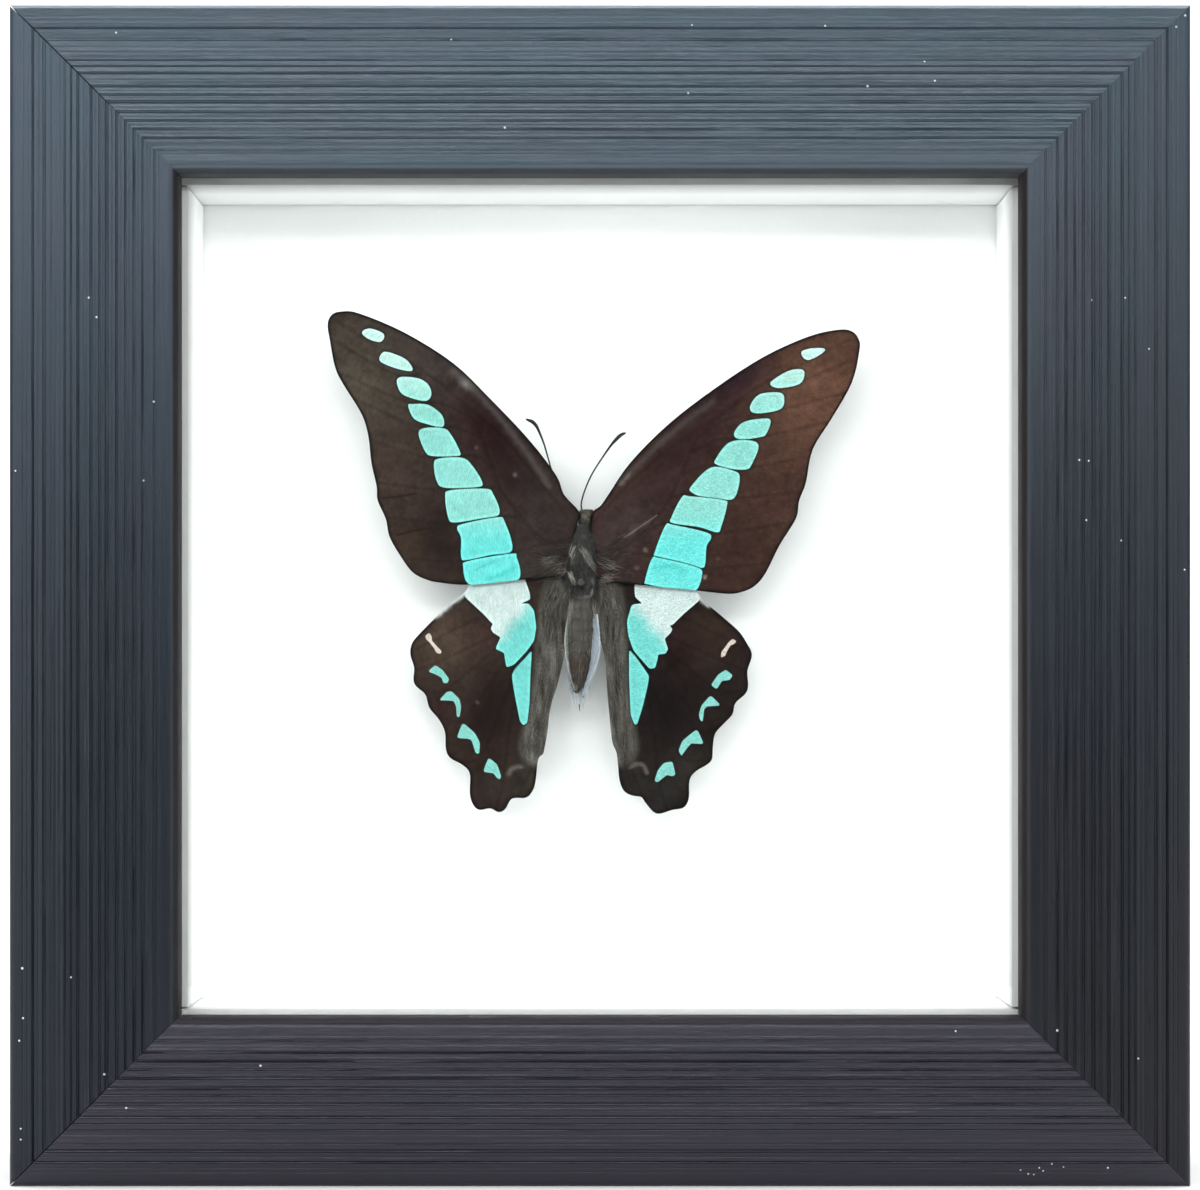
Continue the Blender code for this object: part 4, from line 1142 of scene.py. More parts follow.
HINDWING_VEINS_LEFT = [
    [(-1.8, -1.5), (-7.5, -3.2), (-13.5, -5.4), (-21.9, -9.6)],
    [(-9.6, -6.3), (-12.4, -8.2), (-19.2, -11.4), (-21.9, -12.4)],
    [(-10.3, -8.6), (-13.0, -11.0), (-18.0, -14.9), (-21.0, -15.2)],
    [(-9.9, -11.0), (-12.7, -15.0), (-15.9, -19.1), (-18.8, -18.7)],
    [(-8.2, -11.8), (-10.5, -17.0), (-13.3, -23.8), (-16.2, -24.5)],
    [(-6.7, -9.9), (-9.2, -18.0), (-10.4, -27.6), (-11.4, -30.8)],
    [(-2.4, -5.0), (-4.6, -15.0), (-6.2, -24.0), (-8.2, -29.2)],
    [(-3.5, -2.2), (-6.2, -6.0), (-6.7, -9.9), (-8.2, -11.8), (-9.9, -11.0), (-10.3, -8.6), (-9.6, -6.3),
     (-7.5, -3.2)],
]

# Colours in the order (top of the row, foot of the row)
SPOT_TIP, SPOT_MIDDLE, SPOT_FOOT = rgb(205, 243, 234), rgb(150, 222, 213), rgb(114, 227, 223)
LOBE_PALE, LOBE_CYAN, CRESCENT = rgb(214, 230, 228), rgb(122, 216, 210), rgb(142, 214, 206)
TICK, SPOT_BORDER, EDGE_DARK = rgb(226, 211, 202), rgb(22, 34, 33), rgb(14, 11, 11)

# Patches of ground colour: (place, radii, tilt in degrees, colour, strength)
PATCHES_FOREWING_LEFT = [
    ((-30.0, 25.5), (7.0, 9.0), 20, rgb(84, 76, 66), 0.85),
    ((-25.5, 14.0), (5.0, 6.0), 0, rgb(74, 60, 54), 0.75),
    ((-22.0, 3.5), (4.5, 4.0), 0, rgb(66, 54, 44), 0.6),
    ((-18.5, 4.5), (2.2, 4.0), 10, rgb(36, 29, 31), 0.75),
    ((-18.5, 28.0), (6.5, 3.0), -35, rgb(72, 63, 60), 0.8),
    ((-12.0, 19.0), (3.2, 7.0), 35, rgb(44, 26, 29), 0.9),
    ((-8.3, 13.0), (2.6, 4.5), 35, rgb(46, 34, 35), 0.7),
    ((-5.0, 7.0), (3.2, 5.5), 20, rgb(58, 50, 50), 0.8),
    ((-5.0, 1.6), (4.0, 1.8), 0, rgb(74, 69, 65), 0.6),
    ((-15.2, 25.5), (0.9, 0.5), -35, rgb(150, 146, 144), 0.55),
    ((-13.9, 17.1), (0.22, 0.22), 0, rgb(124, 110, 108), 0.7),
    ((-8.8, 13.5), (0.2, 0.2), 0, rgb(140, 128, 126), 0.7),
]
PATCHES_FOREWING_RIGHT = [
    ((31.5, 24.5), (6.5, 9.0), -15, rgb(106, 76, 62), 0.95),
    ((26.5, 9.0), (4.5, 7.0), -10, rgb(76, 55, 48), 0.65),
    ((21.5, 4.5), (3.0, 4.0), 0, rgb(62, 44, 40), 0.6),
    ((20.5, 26.5), (5.5, 2.2), 38, rgb(50, 35, 44), 0.85),
    ((14.0, 18.0), (3.4, 6.0), -45, rgb(49, 35, 36), 0.85),
    ((9.5, 9.5), (3.0, 5.0), -35, rgb(58, 45, 45), 0.7),
    ((5.0, 5.0), (3.2, 4.5), -20, rgb(68, 58, 57), 0.8),
    ((5.0, 0.5), (3.2, 1.6), 0, rgb(64, 52, 50), 0.5),
    ((8.5, 3.5), (0.22, 0.2), 0, rgb(150, 132, 128), 0.8),
    ((7.4, 1.1), (0.25, 0.22), 0, rgb(140, 122, 118), 0.7),
    ((16.4, -0.1), (0.2, 0.2), 0, rgb(190, 170, 160), 0.8),
    ((18.1, 2.4), (0.25, 0.2), 0, rgb(104, 84, 80), 0.6),
]
PATCHES_HINDWING_LEFT = [
    ((-18.0, -8.5), (4.5, 4.5), 0, rgb(84, 70, 60), 0.85),
    ((-13.0, -7.5), (2.0, 2.5), 0, rgb(66, 46, 46), 0.6),
    ((-11.5, -18.0), (3.6, 6.0), -15, rgb(35, 27, 28), 0.9),
    ((-18.5, -17.5), (1.8, 2.6), -20, rgb(64, 44, 44), 0.6),
    ((-12.0, -29.0), (3.0, 2.0), 0, rgb(52, 44, 44), 0.6),
    ((-7.5, -26.5), (2.2, 3.0), 0, rgb(54, 52, 46), 0.7),
    ((-13.8, -16.7), (0.2, 0.2), 0, rgb(130, 118, 114), 0.7),
]
PATCHES_HINDWING_RIGHT = [
    ((17.5, -7.5), (4.0, 4.0), 0, rgb(58, 44, 37), 0.7),
    ((12.5, -9.5), (3.0, 3.0), 0, rgb(44, 30, 28), 0.8),
    ((11.0, -17.5), (3.6, 6.0), 15, rgb(27, 24, 24), 0.9),
    ((14.0, -25.5), (3.0, 3.0), 0, rgb(52, 48, 44), 0.7),
    ((11.0, -29.0), (2.6, 2.0), 0, rgb(46, 46, 45), 0.7),
    ((6.8, -27.0), (2.0, 2.6), 0, rgb(50, 46, 44), 0.7),
]

# Lines on a wing: (points, half width, colour, strength)
STROKES_FOREWING_LEFT = [
    ([(-14.6, 25.2), (-10.5, 20.7), (-7.0, 16.1), (-4.3, 12.0)], 0.42, rgb(92, 86, 84), 0.6),
    ([(-17.0, 27.2), (-14.6, 25.2)], 0.35, rgb(110, 104, 102), 0.4),
    ([(-26.4, 10.4), (-24.2, 10.6), (-22.0, 11.0)], 0.12, rgb(30, 22, 20), 0.7),
    ([(-24.4, 5.5), (-22.3, 6.0), (-20.0, 6.4)], 0.12, rgb(30, 22, 20), 0.7),
    ([(-11.5, 2.1), (-14.0, 0.9)], 0.12, rgb(60, 190, 178), 0.5),
    ([(-8.6, 1.2), (-10.5, 0.3), (-12.6, -0.4)], 0.28, rgb(54, 206, 192), 0.6),
]
STROKES_FOREWING_RIGHT = [
    ([(5.4, 12.6), (8.0, 15.3), (12.4, 19.4), (17.4, 23.2)], 0.42, rgb(90, 82, 80), 0.55),
    ([(5.8, 5.2), (8.0, 6.7), (10.0, 8.1)], 0.07, rgb(140, 126, 122), 0.75),
    ([(5.2, 12.2), (6.4, 13.6)], 0.16, rgb(140, 132, 128), 0.5),
    ([(9.8, 1.2), (12.0, 1.3), (14.0, 0.6)], 0.3, rgb(62, 200, 190), 0.5),
]
STROKES_HINDWING_LEFT = [
    ([(-14.3, 0.1), (-15.6, -2.2), (-17.6, -3.7), (-19.2, -5.2)], 0.30, rgb(236, 240, 240), 0.95),
    ([(-9.6, -26.2), (-9.3, -25.6), (-8.7, -25.3), (-7.9, -25.3)], 0.24, rgb(124, 116, 108), 0.75),
    ([(-6.5, -9.6), (-9.2, -12.6)], 0.14, rgb(18, 24, 24), 0.9),
]
STROKES_HINDWING_RIGHT = [
    ([(14.5, -0.6), (15.8, -2.7), (17.0, -3.7)], 0.30, rgb(236, 240, 240), 0.95),
    ([(6.5, -25.4), (7.3, -24.9), (8.2, -25.1), (8.8, -26.1)], 0.22, rgb(120, 110, 108), 0.8),
    ([(6.4, -9.6), (9.3, -12.8)], 0.14, rgb(18, 24, 24), 0.9),
]


def mirrored(lines):
    return [[(-x, z) for x, z in line] for line in lines]


def rounded(points):
    """A loop with its corners cut back a little, twice over."""
    loop = np.array(points, float)
    for cut in (0.10, 0.22):
        after = np.roll(loop, -1, axis=0)
        loop = np.stack([loop + (after - loop) * cut, after + (loop - after) * cut], axis=1).reshape(-1, 2)
    return loop


def shifted(loop, distance):
    """The same loop moved outwards by a distance."""
    step = np.roll(loop, -1, axis=0) - np.roll(loop, 1, axis=0)
    normal = np.stack([step[:, 1], -step[:, 0]], axis=1)
    normal /= np.maximum(np.linalg.norm(normal, axis=1, keepdims=True), 1e-9)
    area = (loop[:, 0] * np.roll(loop[:, 1], -1) - np.roll(loop[:, 0], -1) * loop[:, 1]).sum()
    return loop + normal * distance * math.copysign(1.0, area)


def patch_share(points, centre, radii, tilt):
    angle = math.radians(tilt)
    offset = points - np.array(centre)
    along = offset[:, 0] * math.cos(angle) + offset[:, 1] * math.sin(angle)
    across = offset[:, 1] * math.cos(angle) - offset[:, 0] * math.sin(angle)
    return np.exp(-((along / radii[0]) ** 2 + (across / radii[1]) ** 2) * 0.9)


WING_STEP = 0.30  # mm between the points of a wing's sheet
WING_SHEET = 0.08
RIM = 0.14
OUTLINE_STEP = 0.22
FINE_STROKE = 0.2  # strokes narrower than this get their own edges in the sheet
TINY_TRIANGLE = 1e-7


def wing_lines(outline, marks, veins, strokes):
    """The lines that the sheet's edges follow, as (points, whether closed). The outline comes first."""
    edge = even_points(outline, OUTLINE_STEP, True)
    lines = [(edge, True)]
    lines += [(shifted(mark, offset), True) for mark in marks for offset in (-RIM, 0.0, 0.07)]
    lines.append((shifted(edge, -RIM), True))
    lines += [(even_points(vein, 0.25, False), False) for vein in veins]
    for stroke, half_width, _, _ in strokes:
        if half_width < FINE_STROKE:
            middle = even_points(smooth_points(stroke, 5, False), 0.2, False)
            lines.append((middle, False))
            lines += [(middle + [0.0, side * 1.8 * half_width], False) for side in (-1, 1)]
    return lines


def filling_points(outline, lines):
    """A jittered triangular grid inside the outline, clear of the lines."""
    low, high = outline.min(0), outline.max(0)
    rows = np.arange(low[1], high[1], WING_STEP * 0.866)
    columns = np.arange(low[0], high[0], WING_STEP)
    grid = np.array([(x + (i % 2) * WING_STEP / 2, z) for i, z in enumerate(rows) for x in columns])
    u, v = grid.T * 7
    grid += 0.05 * np.stack([noise(u, v, 1), noise(u, v, 2)], 1)
    grid = grid[is_inside(grid, outline)]
    clear = np.ones(len(grid), bool)
    for line, closed in lines:
        near, _ = line_distance(grid, line, closed)
        clear &= near > WING_STEP * 0.45
    return grid[clear]


def wing_points(outline, marks, veins, strokes):
    """The sheet's points and triangles, with edges along its outline, marks, veins and fine strokes."""
    lines = wing_lines(outline, marks, veins, strokes)
    fixed, edges = [], []
    for line, closed in lines:
        first = len(fixed)
        fixed += [tuple(p) for p in line]
        edges += [(k, k + 1) for k in range(first, len(fixed) - 1)]
        if closed:
            edges.append((len(fixed) - 1, first))
    points = np.vstack([fixed, filling_points(outline, lines)])
    made, _, triangles, *_ = delaunay_2d_cdt([Vector(p) for p in points], edges, [], 0, 1e-6, False)
    made = np.array([tuple(p) for p in made])
    triangles = np.array(triangles)
    triangles = triangles[is_inside(made[triangles].mean(1), lines[0][0])]
    corners = made[triangles]
    area = np.cross(corners[:, 1] - corners[:, 0], corners[:, 2] - corners[:, 0])
    real = np.abs(area) > TINY_TRIANGLE
    triangles, area = triangles[real], area[real]
    triangles[area < 0] = triangles[area < 0][:, ::-1]
    used, triangles = np.unique(triangles, return_inverse=True)
    return made[used], triangles.reshape(-1, 3)


def sheet_edges(triangles):
    """The sheet's outer edges, each in the direction its triangle runs."""
    pairs = np.concatenate([triangles[:, [0, 1]], triangles[:, [1, 2]], triangles[:, [2, 0]]])
    key = np.sort(pairs, axis=1)
    _, first, counts = np.unique(key, axis=0, return_index=True, return_counts=True)
    return pairs[first[counts == 1]]


def paint_ground(points, plan, vein_gap, edge_gap):
    u, v = points.T
    colours = np.tile(np.array(plan["ground"], float), (len(points), 1))
    for centre, radii, tilt, colour, strength in plan["patches"]:
        colours = blend(colours, colour, strength * patch_share(points, centre, radii, tilt))
    seed = plan["seed"]
    mottle = 1 + 0.16 * layered_noise(u / 1.7, v / 1.7, seed) + 0.20 * noise(u / 0.4, v / 0.4, seed + 9)
    colours = colours * mottle[:, None]
    colours = blend(colours, EDGE_DARK, 0.22 * np.exp(-((vein_gap / 0.16) ** 2)))
    # Painted highlight: a band a tenth lighter half a millimetre beside each vein, on the slope where the
    # membrane falls away from the vein's ridge.
    fold = 0.10 * np.exp(-(((vein_gap - 0.5) / 0.3) ** 2))
    colours = colours * (1 + fold)[:, None]
    return blend(colours, EDGE_DARK, 0.9 * (1 - smoothstep(0.14, 0.38, edge_gap)))


def paint_strokes(points, colours, strokes):
    for line, half_width, colour, strength in strokes:
        away, _ = line_distance(points, smooth_points(line, 5, False), False)
        wobble = 1 + 0.35 * noise(points[:, 0] * 2.1, points[:, 1] * 2.1, 31)
        colours = blend(colours, colour, strength * np.exp(-((away / (half_width * wobble)) ** 2)))
    return colours


def row_colour(v):
    """The forewing row's colour by height: palest at the tip, deepest at the foot."""
    middle = blend(np.tile(SPOT_MIDDLE, (len(v), 1)), SPOT_TIP, smoothstep(20.0, 31.0, v))
    return blend(middle, SPOT_FOOT, smoothstep(9.0, 4.0, v))


def lobe_colour(points, side):
    """The hindwing lobe, near white towards the front edge and cyan towards the body."""
    start, across = np.array([-6.65 * -side, -3.2]), np.array([0.77 * -side, -0.64])
    turned = (points - start) @ across
    turned = turned + 0.5 * noise(points[:, 0] / 1.2, points[:, 1] / 1.2, 5)
    return blend(np.tile(LOBE_PALE, (len(points), 1)), LOBE_CYAN, smoothstep(-1.2, 1.5, turned))


def paint_mark(points, colours, loop, tint, bordered, seed):
    """A spot: its own tint, a paler rim just inside its edge and a dark line just outside."""
    gap = signed_distance(points, loop)
    u, v = points.T
    if bordered:
        colours = blend(colours, SPOT_BORDER, 0.85 * (1 - smoothstep(0.05, 0.30, gap)))
    mottle = 1 + 0.06 * layered_noise(u / 1.1, v / 1.1, seed) + 0.06 * noise(u / 0.35, v / 0.35, seed + 2)
    body = tint * mottle[:, None]
    rim = np.exp(-((np.abs(gap) - 0.10) / 0.16) ** 2) if bordered else np.exp(-((gap / 0.1) ** 2)) * 0.5
    body = blend(body, np.minimum(tint * 1.18 + 0.05, 1.0), 0.75 * rim)
    return blend(colours, body, (gap < 0.02).astype(float))


def mark_colour(kind, points, side):
    plain = {"cell": LOBE_CYAN, "crescent": CRESCENT, "tick": TICK}
    if kind in plain:
        return np.tile(plain[kind], (len(points), 1))
    return row_colour(points[:, 1]) if kind == "spot" else lobe_colour(points, side)


def wing_depths(plan, points, reach, vein_gap, edge_gap):
    """Depths of the sheet's front: raised along the veins, gently waved, and lifted towards its tip."""
    u, v = points.T
    relief = 0.09 * (1 - np.exp(-((vein_gap / 1.0) ** 2))) * smoothstep(0.0, 0.8, edge_gap)
    relief = relief - 0.05 * np.exp(-((vein_gap / 0.14) ** 2))
    relief = relief + 0.10 * noise(u / 7.0, v / 7.0, plan["seed"] + 4)
    lift = plan["lift"] * smoothstep(14.0, 44.0, reach)
    lift = lift + 0.05 * noise(u / 1.4, v / 1.4, plan["seed"] + 6)
    return plan["depth"] + relief - lift


def wing_shape(plan):
    outline = smooth_points(plan["outline"], 4, True)
    side = plan["side"]
    loops = [(even_points(smooth_points(m, 5, True), 0.2, True), kind) for m, kind in plan["smooth_marks"]]
    loops += [(even_points(rounded(m), 0.16, True), kind) for m, kind in plan["sharp_marks"]]
    veins = [smooth_points(v, 6, False) for v in plan["veins"]]
    points, triangles = wing_points(outline, [loop for loop, _ in loops], veins, plan["strokes"])
    edge_gap, _ = line_distance(points, even_points(outline, OUTLINE_STEP, True), True)
    vein_gap = np.min([line_distance(points, vein, False)[0] for vein in veins], axis=0)
    colours = paint_ground(points, plan, vein_gap, edge_gap)
    if "margin" in plan:
        colours = paint_inner_margin(points, colours, plan["margin"])
    for number, (loop, kind) in enumerate(loops):
        bordered = kind in ("spot", "lobe", "cell")
        tint = mark_colour(kind, points, side)
        colours = paint_mark(points, colours, loop, tint, bordered, number)
    colours = paint_strokes(points, colours, plan["strokes"])
    from_root = points - [side * 1.5, plan["root_height"]]
    reach = np.linalg.norm(from_root, axis=1)
    turn = np.arctan2(from_root[:, 1], from_root[:, 0])
    front = wing_depths(plan, points, reach, vein_gap, edge_gap)
    u, v = points.T
    count = len(points)
    vertices = np.vstack([np.stack([u, front, v], 1), np.stack([u, front + WING_SHEET, v], 1)])
    faces = [tuple(t) for t in triangles] + [(a + count, c + count, b + count) for a, b, c in triangles]
    faces += [(b, a, a + count, b + count) for a, b in sheet_edges(triangles)]
    grain = np.stack([reach, turn * np.maximum(reach, 4.0), np.zeros(count)], 1)
    flat = (points - outline.min(0)) / np.ptp(outline, axis=0).max()
    uv = np.vstack([flat * 0.72 + 0.01, flat * 0.22 + [0.755, 0.01]])
    shape = Shape()
    shape.add(vertices, faces, np.vstack([colours, colours * 0.9]), np.vstack([grain, grain + 40.0]), uv)
    return shape


def paint_inner_margin(points, colours, margin):
    """The hairy grey-brown band beside the abdomen, streaked along its length."""
    away, _ = line_distance(points, smooth_points(margin, 5, False), False)
    u, v = points.T
    streak = noise(u * 2.6, v / 2.5, 3) + 0.6 * noise(u * 6.0, v / 1.6, 4)
    band = np.tile(rgb(84, 80, 75), (len(points), 1))
    band = blend(band, rgb(130, 126, 118), smoothstep(-0.2, 1.2, streak))
    band = blend(band, rgb(48, 44, 41), smoothstep(0.2, 1.3, -streak))
    return blend(colours, band, 1 - smoothstep(2.2, 3.4, away + 0.25 * streak))


def forewing(side, outline, lift, seed, ground, spots, veins, patches, strokes):
    return {
        "side": side, "outline": outline, "depth": FOREWING_DEPTH, "root_height": 3.0, "lift": lift,
        "seed": seed, "ground": ground, "smooth_marks": [(spot, "spot") for spot in spots],
        "sharp_marks": [], "veins": veins, "patches": patches, "strokes": strokes,
    }


def hindwing(side, outline, seed, ground, marks, crescents, veins, patches, strokes, margin):
    sharp = [*zip(marks, ("lobe", "cell", "tick")), *[(loop, "crescent") for loop in crescents]]
    return {
        "side": side, "outline": outline, "depth": HINDWING_DEPTH, "root_height": -1.0, "lift": 0.0,
        "seed": seed, "ground": ground, "smooth_marks": [], "sharp_marks": sharp,
        "veins": veins, "patches": patches, "strokes": strokes, "margin": margin,
    }


WINGS = {
    "forewing_left": forewing(
        -1.0, FOREWING_LEFT, 0.6, 11, rgb(58, 47, 43), SPOTS_LEFT,
        FOREWING_VEINS_LEFT, PATCHES_FOREWING_LEFT, STROKES_FOREWING_LEFT,
    ),
    "forewing_right": forewing(
        1.0, FOREWING_RIGHT, 0.5, 23, rgb(64, 46, 41), SPOTS_RIGHT,
        FOREWING_VEINS_RIGHT, PATCHES_FOREWING_RIGHT, STROKES_FOREWING_RIGHT,
    ),
    "hindwing_left": hindwing(
        -1.0, HINDWING_LEFT, 37, rgb(56, 45, 40), (LOBE_LEFT, CELL_LEFT, TICK_LEFT), CRESCENTS_LEFT,
        HINDWING_VEINS_LEFT, PATCHES_HINDWING_LEFT, STROKES_HINDWING_LEFT,
        [(-1.4, 0.0), (-2.6, -3.0), (-3.0, -8.0), (-3.6, -14.0), (-4.6, -19.0), (-5.4, -22.5)],
    ),
    "hindwing_right": hindwing(
        1.0, HINDWING_RIGHT, 41, rgb(42, 35, 33), (LOBE_RIGHT, CELL_RIGHT, TICK_RIGHT), CRESCENTS_RIGHT,
        mirrored(HINDWING_VEINS_LEFT), PATCHES_HINDWING_RIGHT, STROKES_HINDWING_RIGHT,
        [(1.6, 0.0), (2.8, -3.0), (3.2, -8.0), (3.6, -14.0), (4.2, -19.0), (4.8, -22.5)],
    ),
}


def add_wings():
    material = furry_material("wing_scales", 0.62, 0.03, 0.24)
    for name, plan in WINGS.items():
        shape = wing_shape(plan)
        dress_wing(name, plan, shape)
        add_piece(f"scaled_{name}", shape.mesh(name), material, "wing", name)


# ---------------------------------------------------------------- body, down and feelers

# (height, half width, half depth, shift to the right)
BODY_STATIONS = [
    (8.95, 0.30, 0.30, 0.40), (8.92, 0.80, 0.70, 0.40), (8.6, 1.02, 0.95, 0.38), (8.0, 1.05, 1.05, 0.35),
    (7.4, 0.92, 0.95, 0.25), (6.9, 0.80, 0.80, 0.15), (6.4, 1.10, 1.05, 0.05), (5.6, 1.60, 1.50, 0.0),
    (4.4, 2.00, 1.85, 0.0), (3.0, 2.20, 2.05, 0.0), (1.4, 2.28, 2.10, 0.0), (0.0, 2.22, 2.05, 0.0),
    (-1.2, 1.95, 1.90, 0.05), (-2.2, 1.62, 1.60, 0.1), (-2.9, 1.42, 1.35, 0.15), (-3.6, 1.48, 1.40, 0.2),
    (-5.0, 1.66, 1.60, 0.2), (-7.0, 1.76, 1.70, 0.2), (-9.0, 1.72, 1.66, 0.2), (-11.0, 1.52, 1.50, 0.2),
    (-12.8, 1.18, 1.20, 0.18), (-14.2, 0.80, 0.85, 0.12), (-15.2, 0.40, 0.42, 0.04), (-15.5, 0.12, 0.12, 0.0),
]
SCUTELLUM = [(-1.5, -0.4), (-1.6, -1.6), (-1.1, -2.5), (0.0, -2.85), (1.15, -2.5), (1.6, -1.5), (1.45, -0.4)]
BODY_SIDES = 72
ABDOMEN_RING = 1.45  # mm from one ring of the abdomen to the next

# Bunches of pale hair: (root, tip, count, spread, colour), in the wings' plane
TUFTS = [
    ((-0.9, 4.0), (-1.4, 2.0), 46, 0.20, rgb(186, 182, 174)),
    ((0.1, 3.6), (1.6, 1.0), 54, 0.22, rgb(170, 167, 160)),
    ((-1.5, 0.5), (-0.8, -0.9), 44, 0.20, rgb(214, 210, 202)),
    ((1.45, -1.0), (1.35, -2.4), 34, 0.12, rgb(206, 204, 200)),
    ((-1.6, -1.0), (-1.3, -2.5), 26, 0.14, rgb(150, 148, 144)),
    ((0.9, 7.5), (0.5, 8.2), 14, 0.16, rgb(178, 166, 152)),
    ((-1.3, -3.2), (-1.5, -7.0), 52, 0.18, rgb(172, 168, 160)),
    ((1.5, -3.2), (1.8, -6.5), 40, 0.16, rgb(164, 160, 152)),
]
# The same on the wings: (wing, root, tip, count, spread, colour)
WING_TUFTS = [
    ("forewing_left", (-3.4, 2.4), (-5.6, 1.6), 44, 0.35, rgb(152, 147, 141)),
    ("forewing_left", (-1.9, 1.4), (-3.6, 0.4), 46, 0.30, rgb(176, 171, 164)),
    ("forewing_left", (-2.4, 3.4), (-5.0, 3.6), 22, 0.5, rgb(96, 91, 86)),
    ("forewing_left", (-2.2, 0.4), (-5.4, -0.3), 26, 0.5, rgb(100, 95, 90)),
    ("forewing_right", (2.6, 1.9), (5.0, 1.2), 46, 0.35, rgb(164, 156, 152)),
    ("forewing_right", (2.6, -0.4), (4.6, 0.1), 40, 0.30, rgb(172, 164, 160)),
    ("forewing_right", (2.2, 3.2), (4.2, 3.0), 18, 0.5, rgb(92, 84, 80)),
    ("hindwing_left", (-1.8, -1.6), (-3.4, -3.6), 56, 0.35, rgb(152, 147, 140)),
    ("hindwing_left", (-1.6, -2.4), (-2.4, -6.5), 44, 0.35, rgb(112, 108, 100)),
    ("hindwing_right", (1.8, -1.6), (3.0, -3.8), 26, 0.35, rgb(100, 95, 88)),
    ("hindwing_right", (1.7, -2.4), (2.6, -6.5), 36, 0.35, rgb(104, 100, 92)),
]

# The pale folds of the hindwings beside the abdomen: (outer edge, inner edge, colour, edge colour)
FOLDS = {
    "hindwing_left": (
        [(-1.5, -4.0), (-2.1, -7.0), (-2.2, -9.4), (-1.75, -12.4), (-0.9, -15.2)],
        [(-1.2, -4.0), (-1.2, -7.5), (-1.1, -10.5), (-0.8, -13.0), (-0.5, -15.0)],
        rgb(146, 145, 141), rgb(214, 218, 220),
    ),
    "hindwing_right": (
        [(2.2, -5.0), (2.5, -8.0), (2.5, -10.3), (1.8, -12.6), (1.1, -14.3), (0.35, -16.2)],
        [(1.3, -5.0), (1.3, -7.5), (1.3, -10.3), (1.0, -12.6), (0.5, -14.3), (0.0, -15.9)],
        rgb(156, 164, 174), rgb(230, 238, 244),
    ),
}

# Feelers: (x, z, thickness over the stalk's)
ANTENNAE = {
    "antenna_left": [
        (-0.5, 8.3, 1.0), (-1.6, 9.6, 1.0), (-2.8, 11.3, 1.0), (-3.8, 13.7, 1.0), (-4.4, 15.8, 1.0),
        (-5.0, 17.8, 1.2), (-5.6, 19.3, 1.7), (-6.0, 20.1, 2.3), (-6.5, 20.6, 2.5), (-7.0, 20.8, 1.9),
        (-7.35, 20.95, 0.9),
    ],
    "antenna_right": [
        (0.1, 8.7, 1.0), (0.0, 9.6, 1.0), (0.2, 10.6, 1.0), (0.6, 11.8, 1.0), (1.2, 13.2, 1.0),
        (2.0, 14.6, 1.0), (3.0, 16.1, 1.2), (3.9, 17.4, 1.6), (4.5, 18.1, 2.2), (5.1, 18.7, 2.5),
        (5.6, 19.0, 1.9), (5.95, 19.1, 0.9),
    ],
}
STALK_RADIUS = 0.10
FEELER_SIDES = 10


def body_section(height):
    """The body's half width, half depth and sideways shift at a height, leaning with its tilt."""
    stations = np.array(BODY_STATIONS)[::-1]
    half_width, half_depth, shift = (np.interp(height, stations[:, 0], stations[:, k]) for k in (1, 2, 3))
    return half_width, half_depth, shift + height * math.tan(BODY_TILT)


def body_point(height, angle):
    """A place on the body's skin, with its outward direction.
    Angle 0 is +X, and a quarter turn faces the glass."""
    half_width, half_depth, shift = body_section(height)
    x = shift + half_width * np.cos(angle)
    depth = BODY_DEPTH - half_depth * np.sin(angle)
    out = np.stack([np.cos(angle) * half_depth, -np.sin(angle) * half_width, np.zeros_like(x)], axis=-1)
    return np.stack([x, depth, height], axis=-1), out / np.linalg.norm(out, axis=-1, keepdims=True)


def body_colour(height, x):
    """Dark thorax, grey-brown abdomen, reddish towards its tip."""
    colours = np.tile(rgb(56, 54, 52), (len(height), 1))
    colours = blend(colours, rgb(84, 80, 74), smoothstep(-2.6, -3.6, height))
    colours = blend(colours, rgb(74, 62, 57), smoothstep(-8.5, -12.0, height))
    colours = blend(colours, rgb(84, 80, 68), smoothstep(7.0, 8.0, height))
    streak = noise(x * 3.2, height / 1.4, 61) + 0.5 * noise(x * 8.0, height / 0.8, 62)
    return colours * (1 + 0.28 * streak)[:, None]


def add_skin(shape):
    """The head, thorax and abdomen as one closed skin."""
    path = smooth_points([(s[0], s[1], s[2]) for s in BODY_STATIONS], 7, False)
    heights = path[:, 0]
    turn = np.linspace(0, 2 * math.pi, BODY_SIDES, endpoint=False)
    height, angle = (g.ravel() for g in np.meshgrid(heights, turn, indexing="ij"))
    points, out = body_point(height, angle)
    ringed = smoothstep(-2.8, -3.4, height) * (0.5 + 0.5 * np.cos(2 * math.pi * height / ABDOMEN_RING)) ** 3
    rough = 0.07 * layered_noise(angle * 4.0, height / 0.6, 71) - 0.05 * ringed
    plane = np.stack([points[:, 0], points[:, 2]], axis=1)
    to_collar, _ = line_distance(plane, smooth_points(SCUTELLUM, 6, False), False)
    collar = np.exp(-((to_collar / 0.22) ** 2)) * (np.sin(angle) > 0.2)
    points = points + out * (rough + 0.16 * collar)[:, None]
    colours = body_colour(height, points[:, 0]) * (1 - 0.26 * ringed)[:, None]
    colours = blend(colours, rgb(134, 132, 130), 0.7 * collar * smoothstep(-1.4, 1.6, points[:, 0]))
    share = (height - heights[-1]) / (heights[0] - heights[-1])
    uv = np.stack([0.01 + 0.70 * angle / (2 * math.pi), 0.01 + 0.97 * share], axis=1)
    grain = np.stack([height, angle * 1.6, np.zeros_like(height)], axis=1)
    shape.add(points, tube_faces(len(heights), BODY_SIDES), colours, grain, uv)


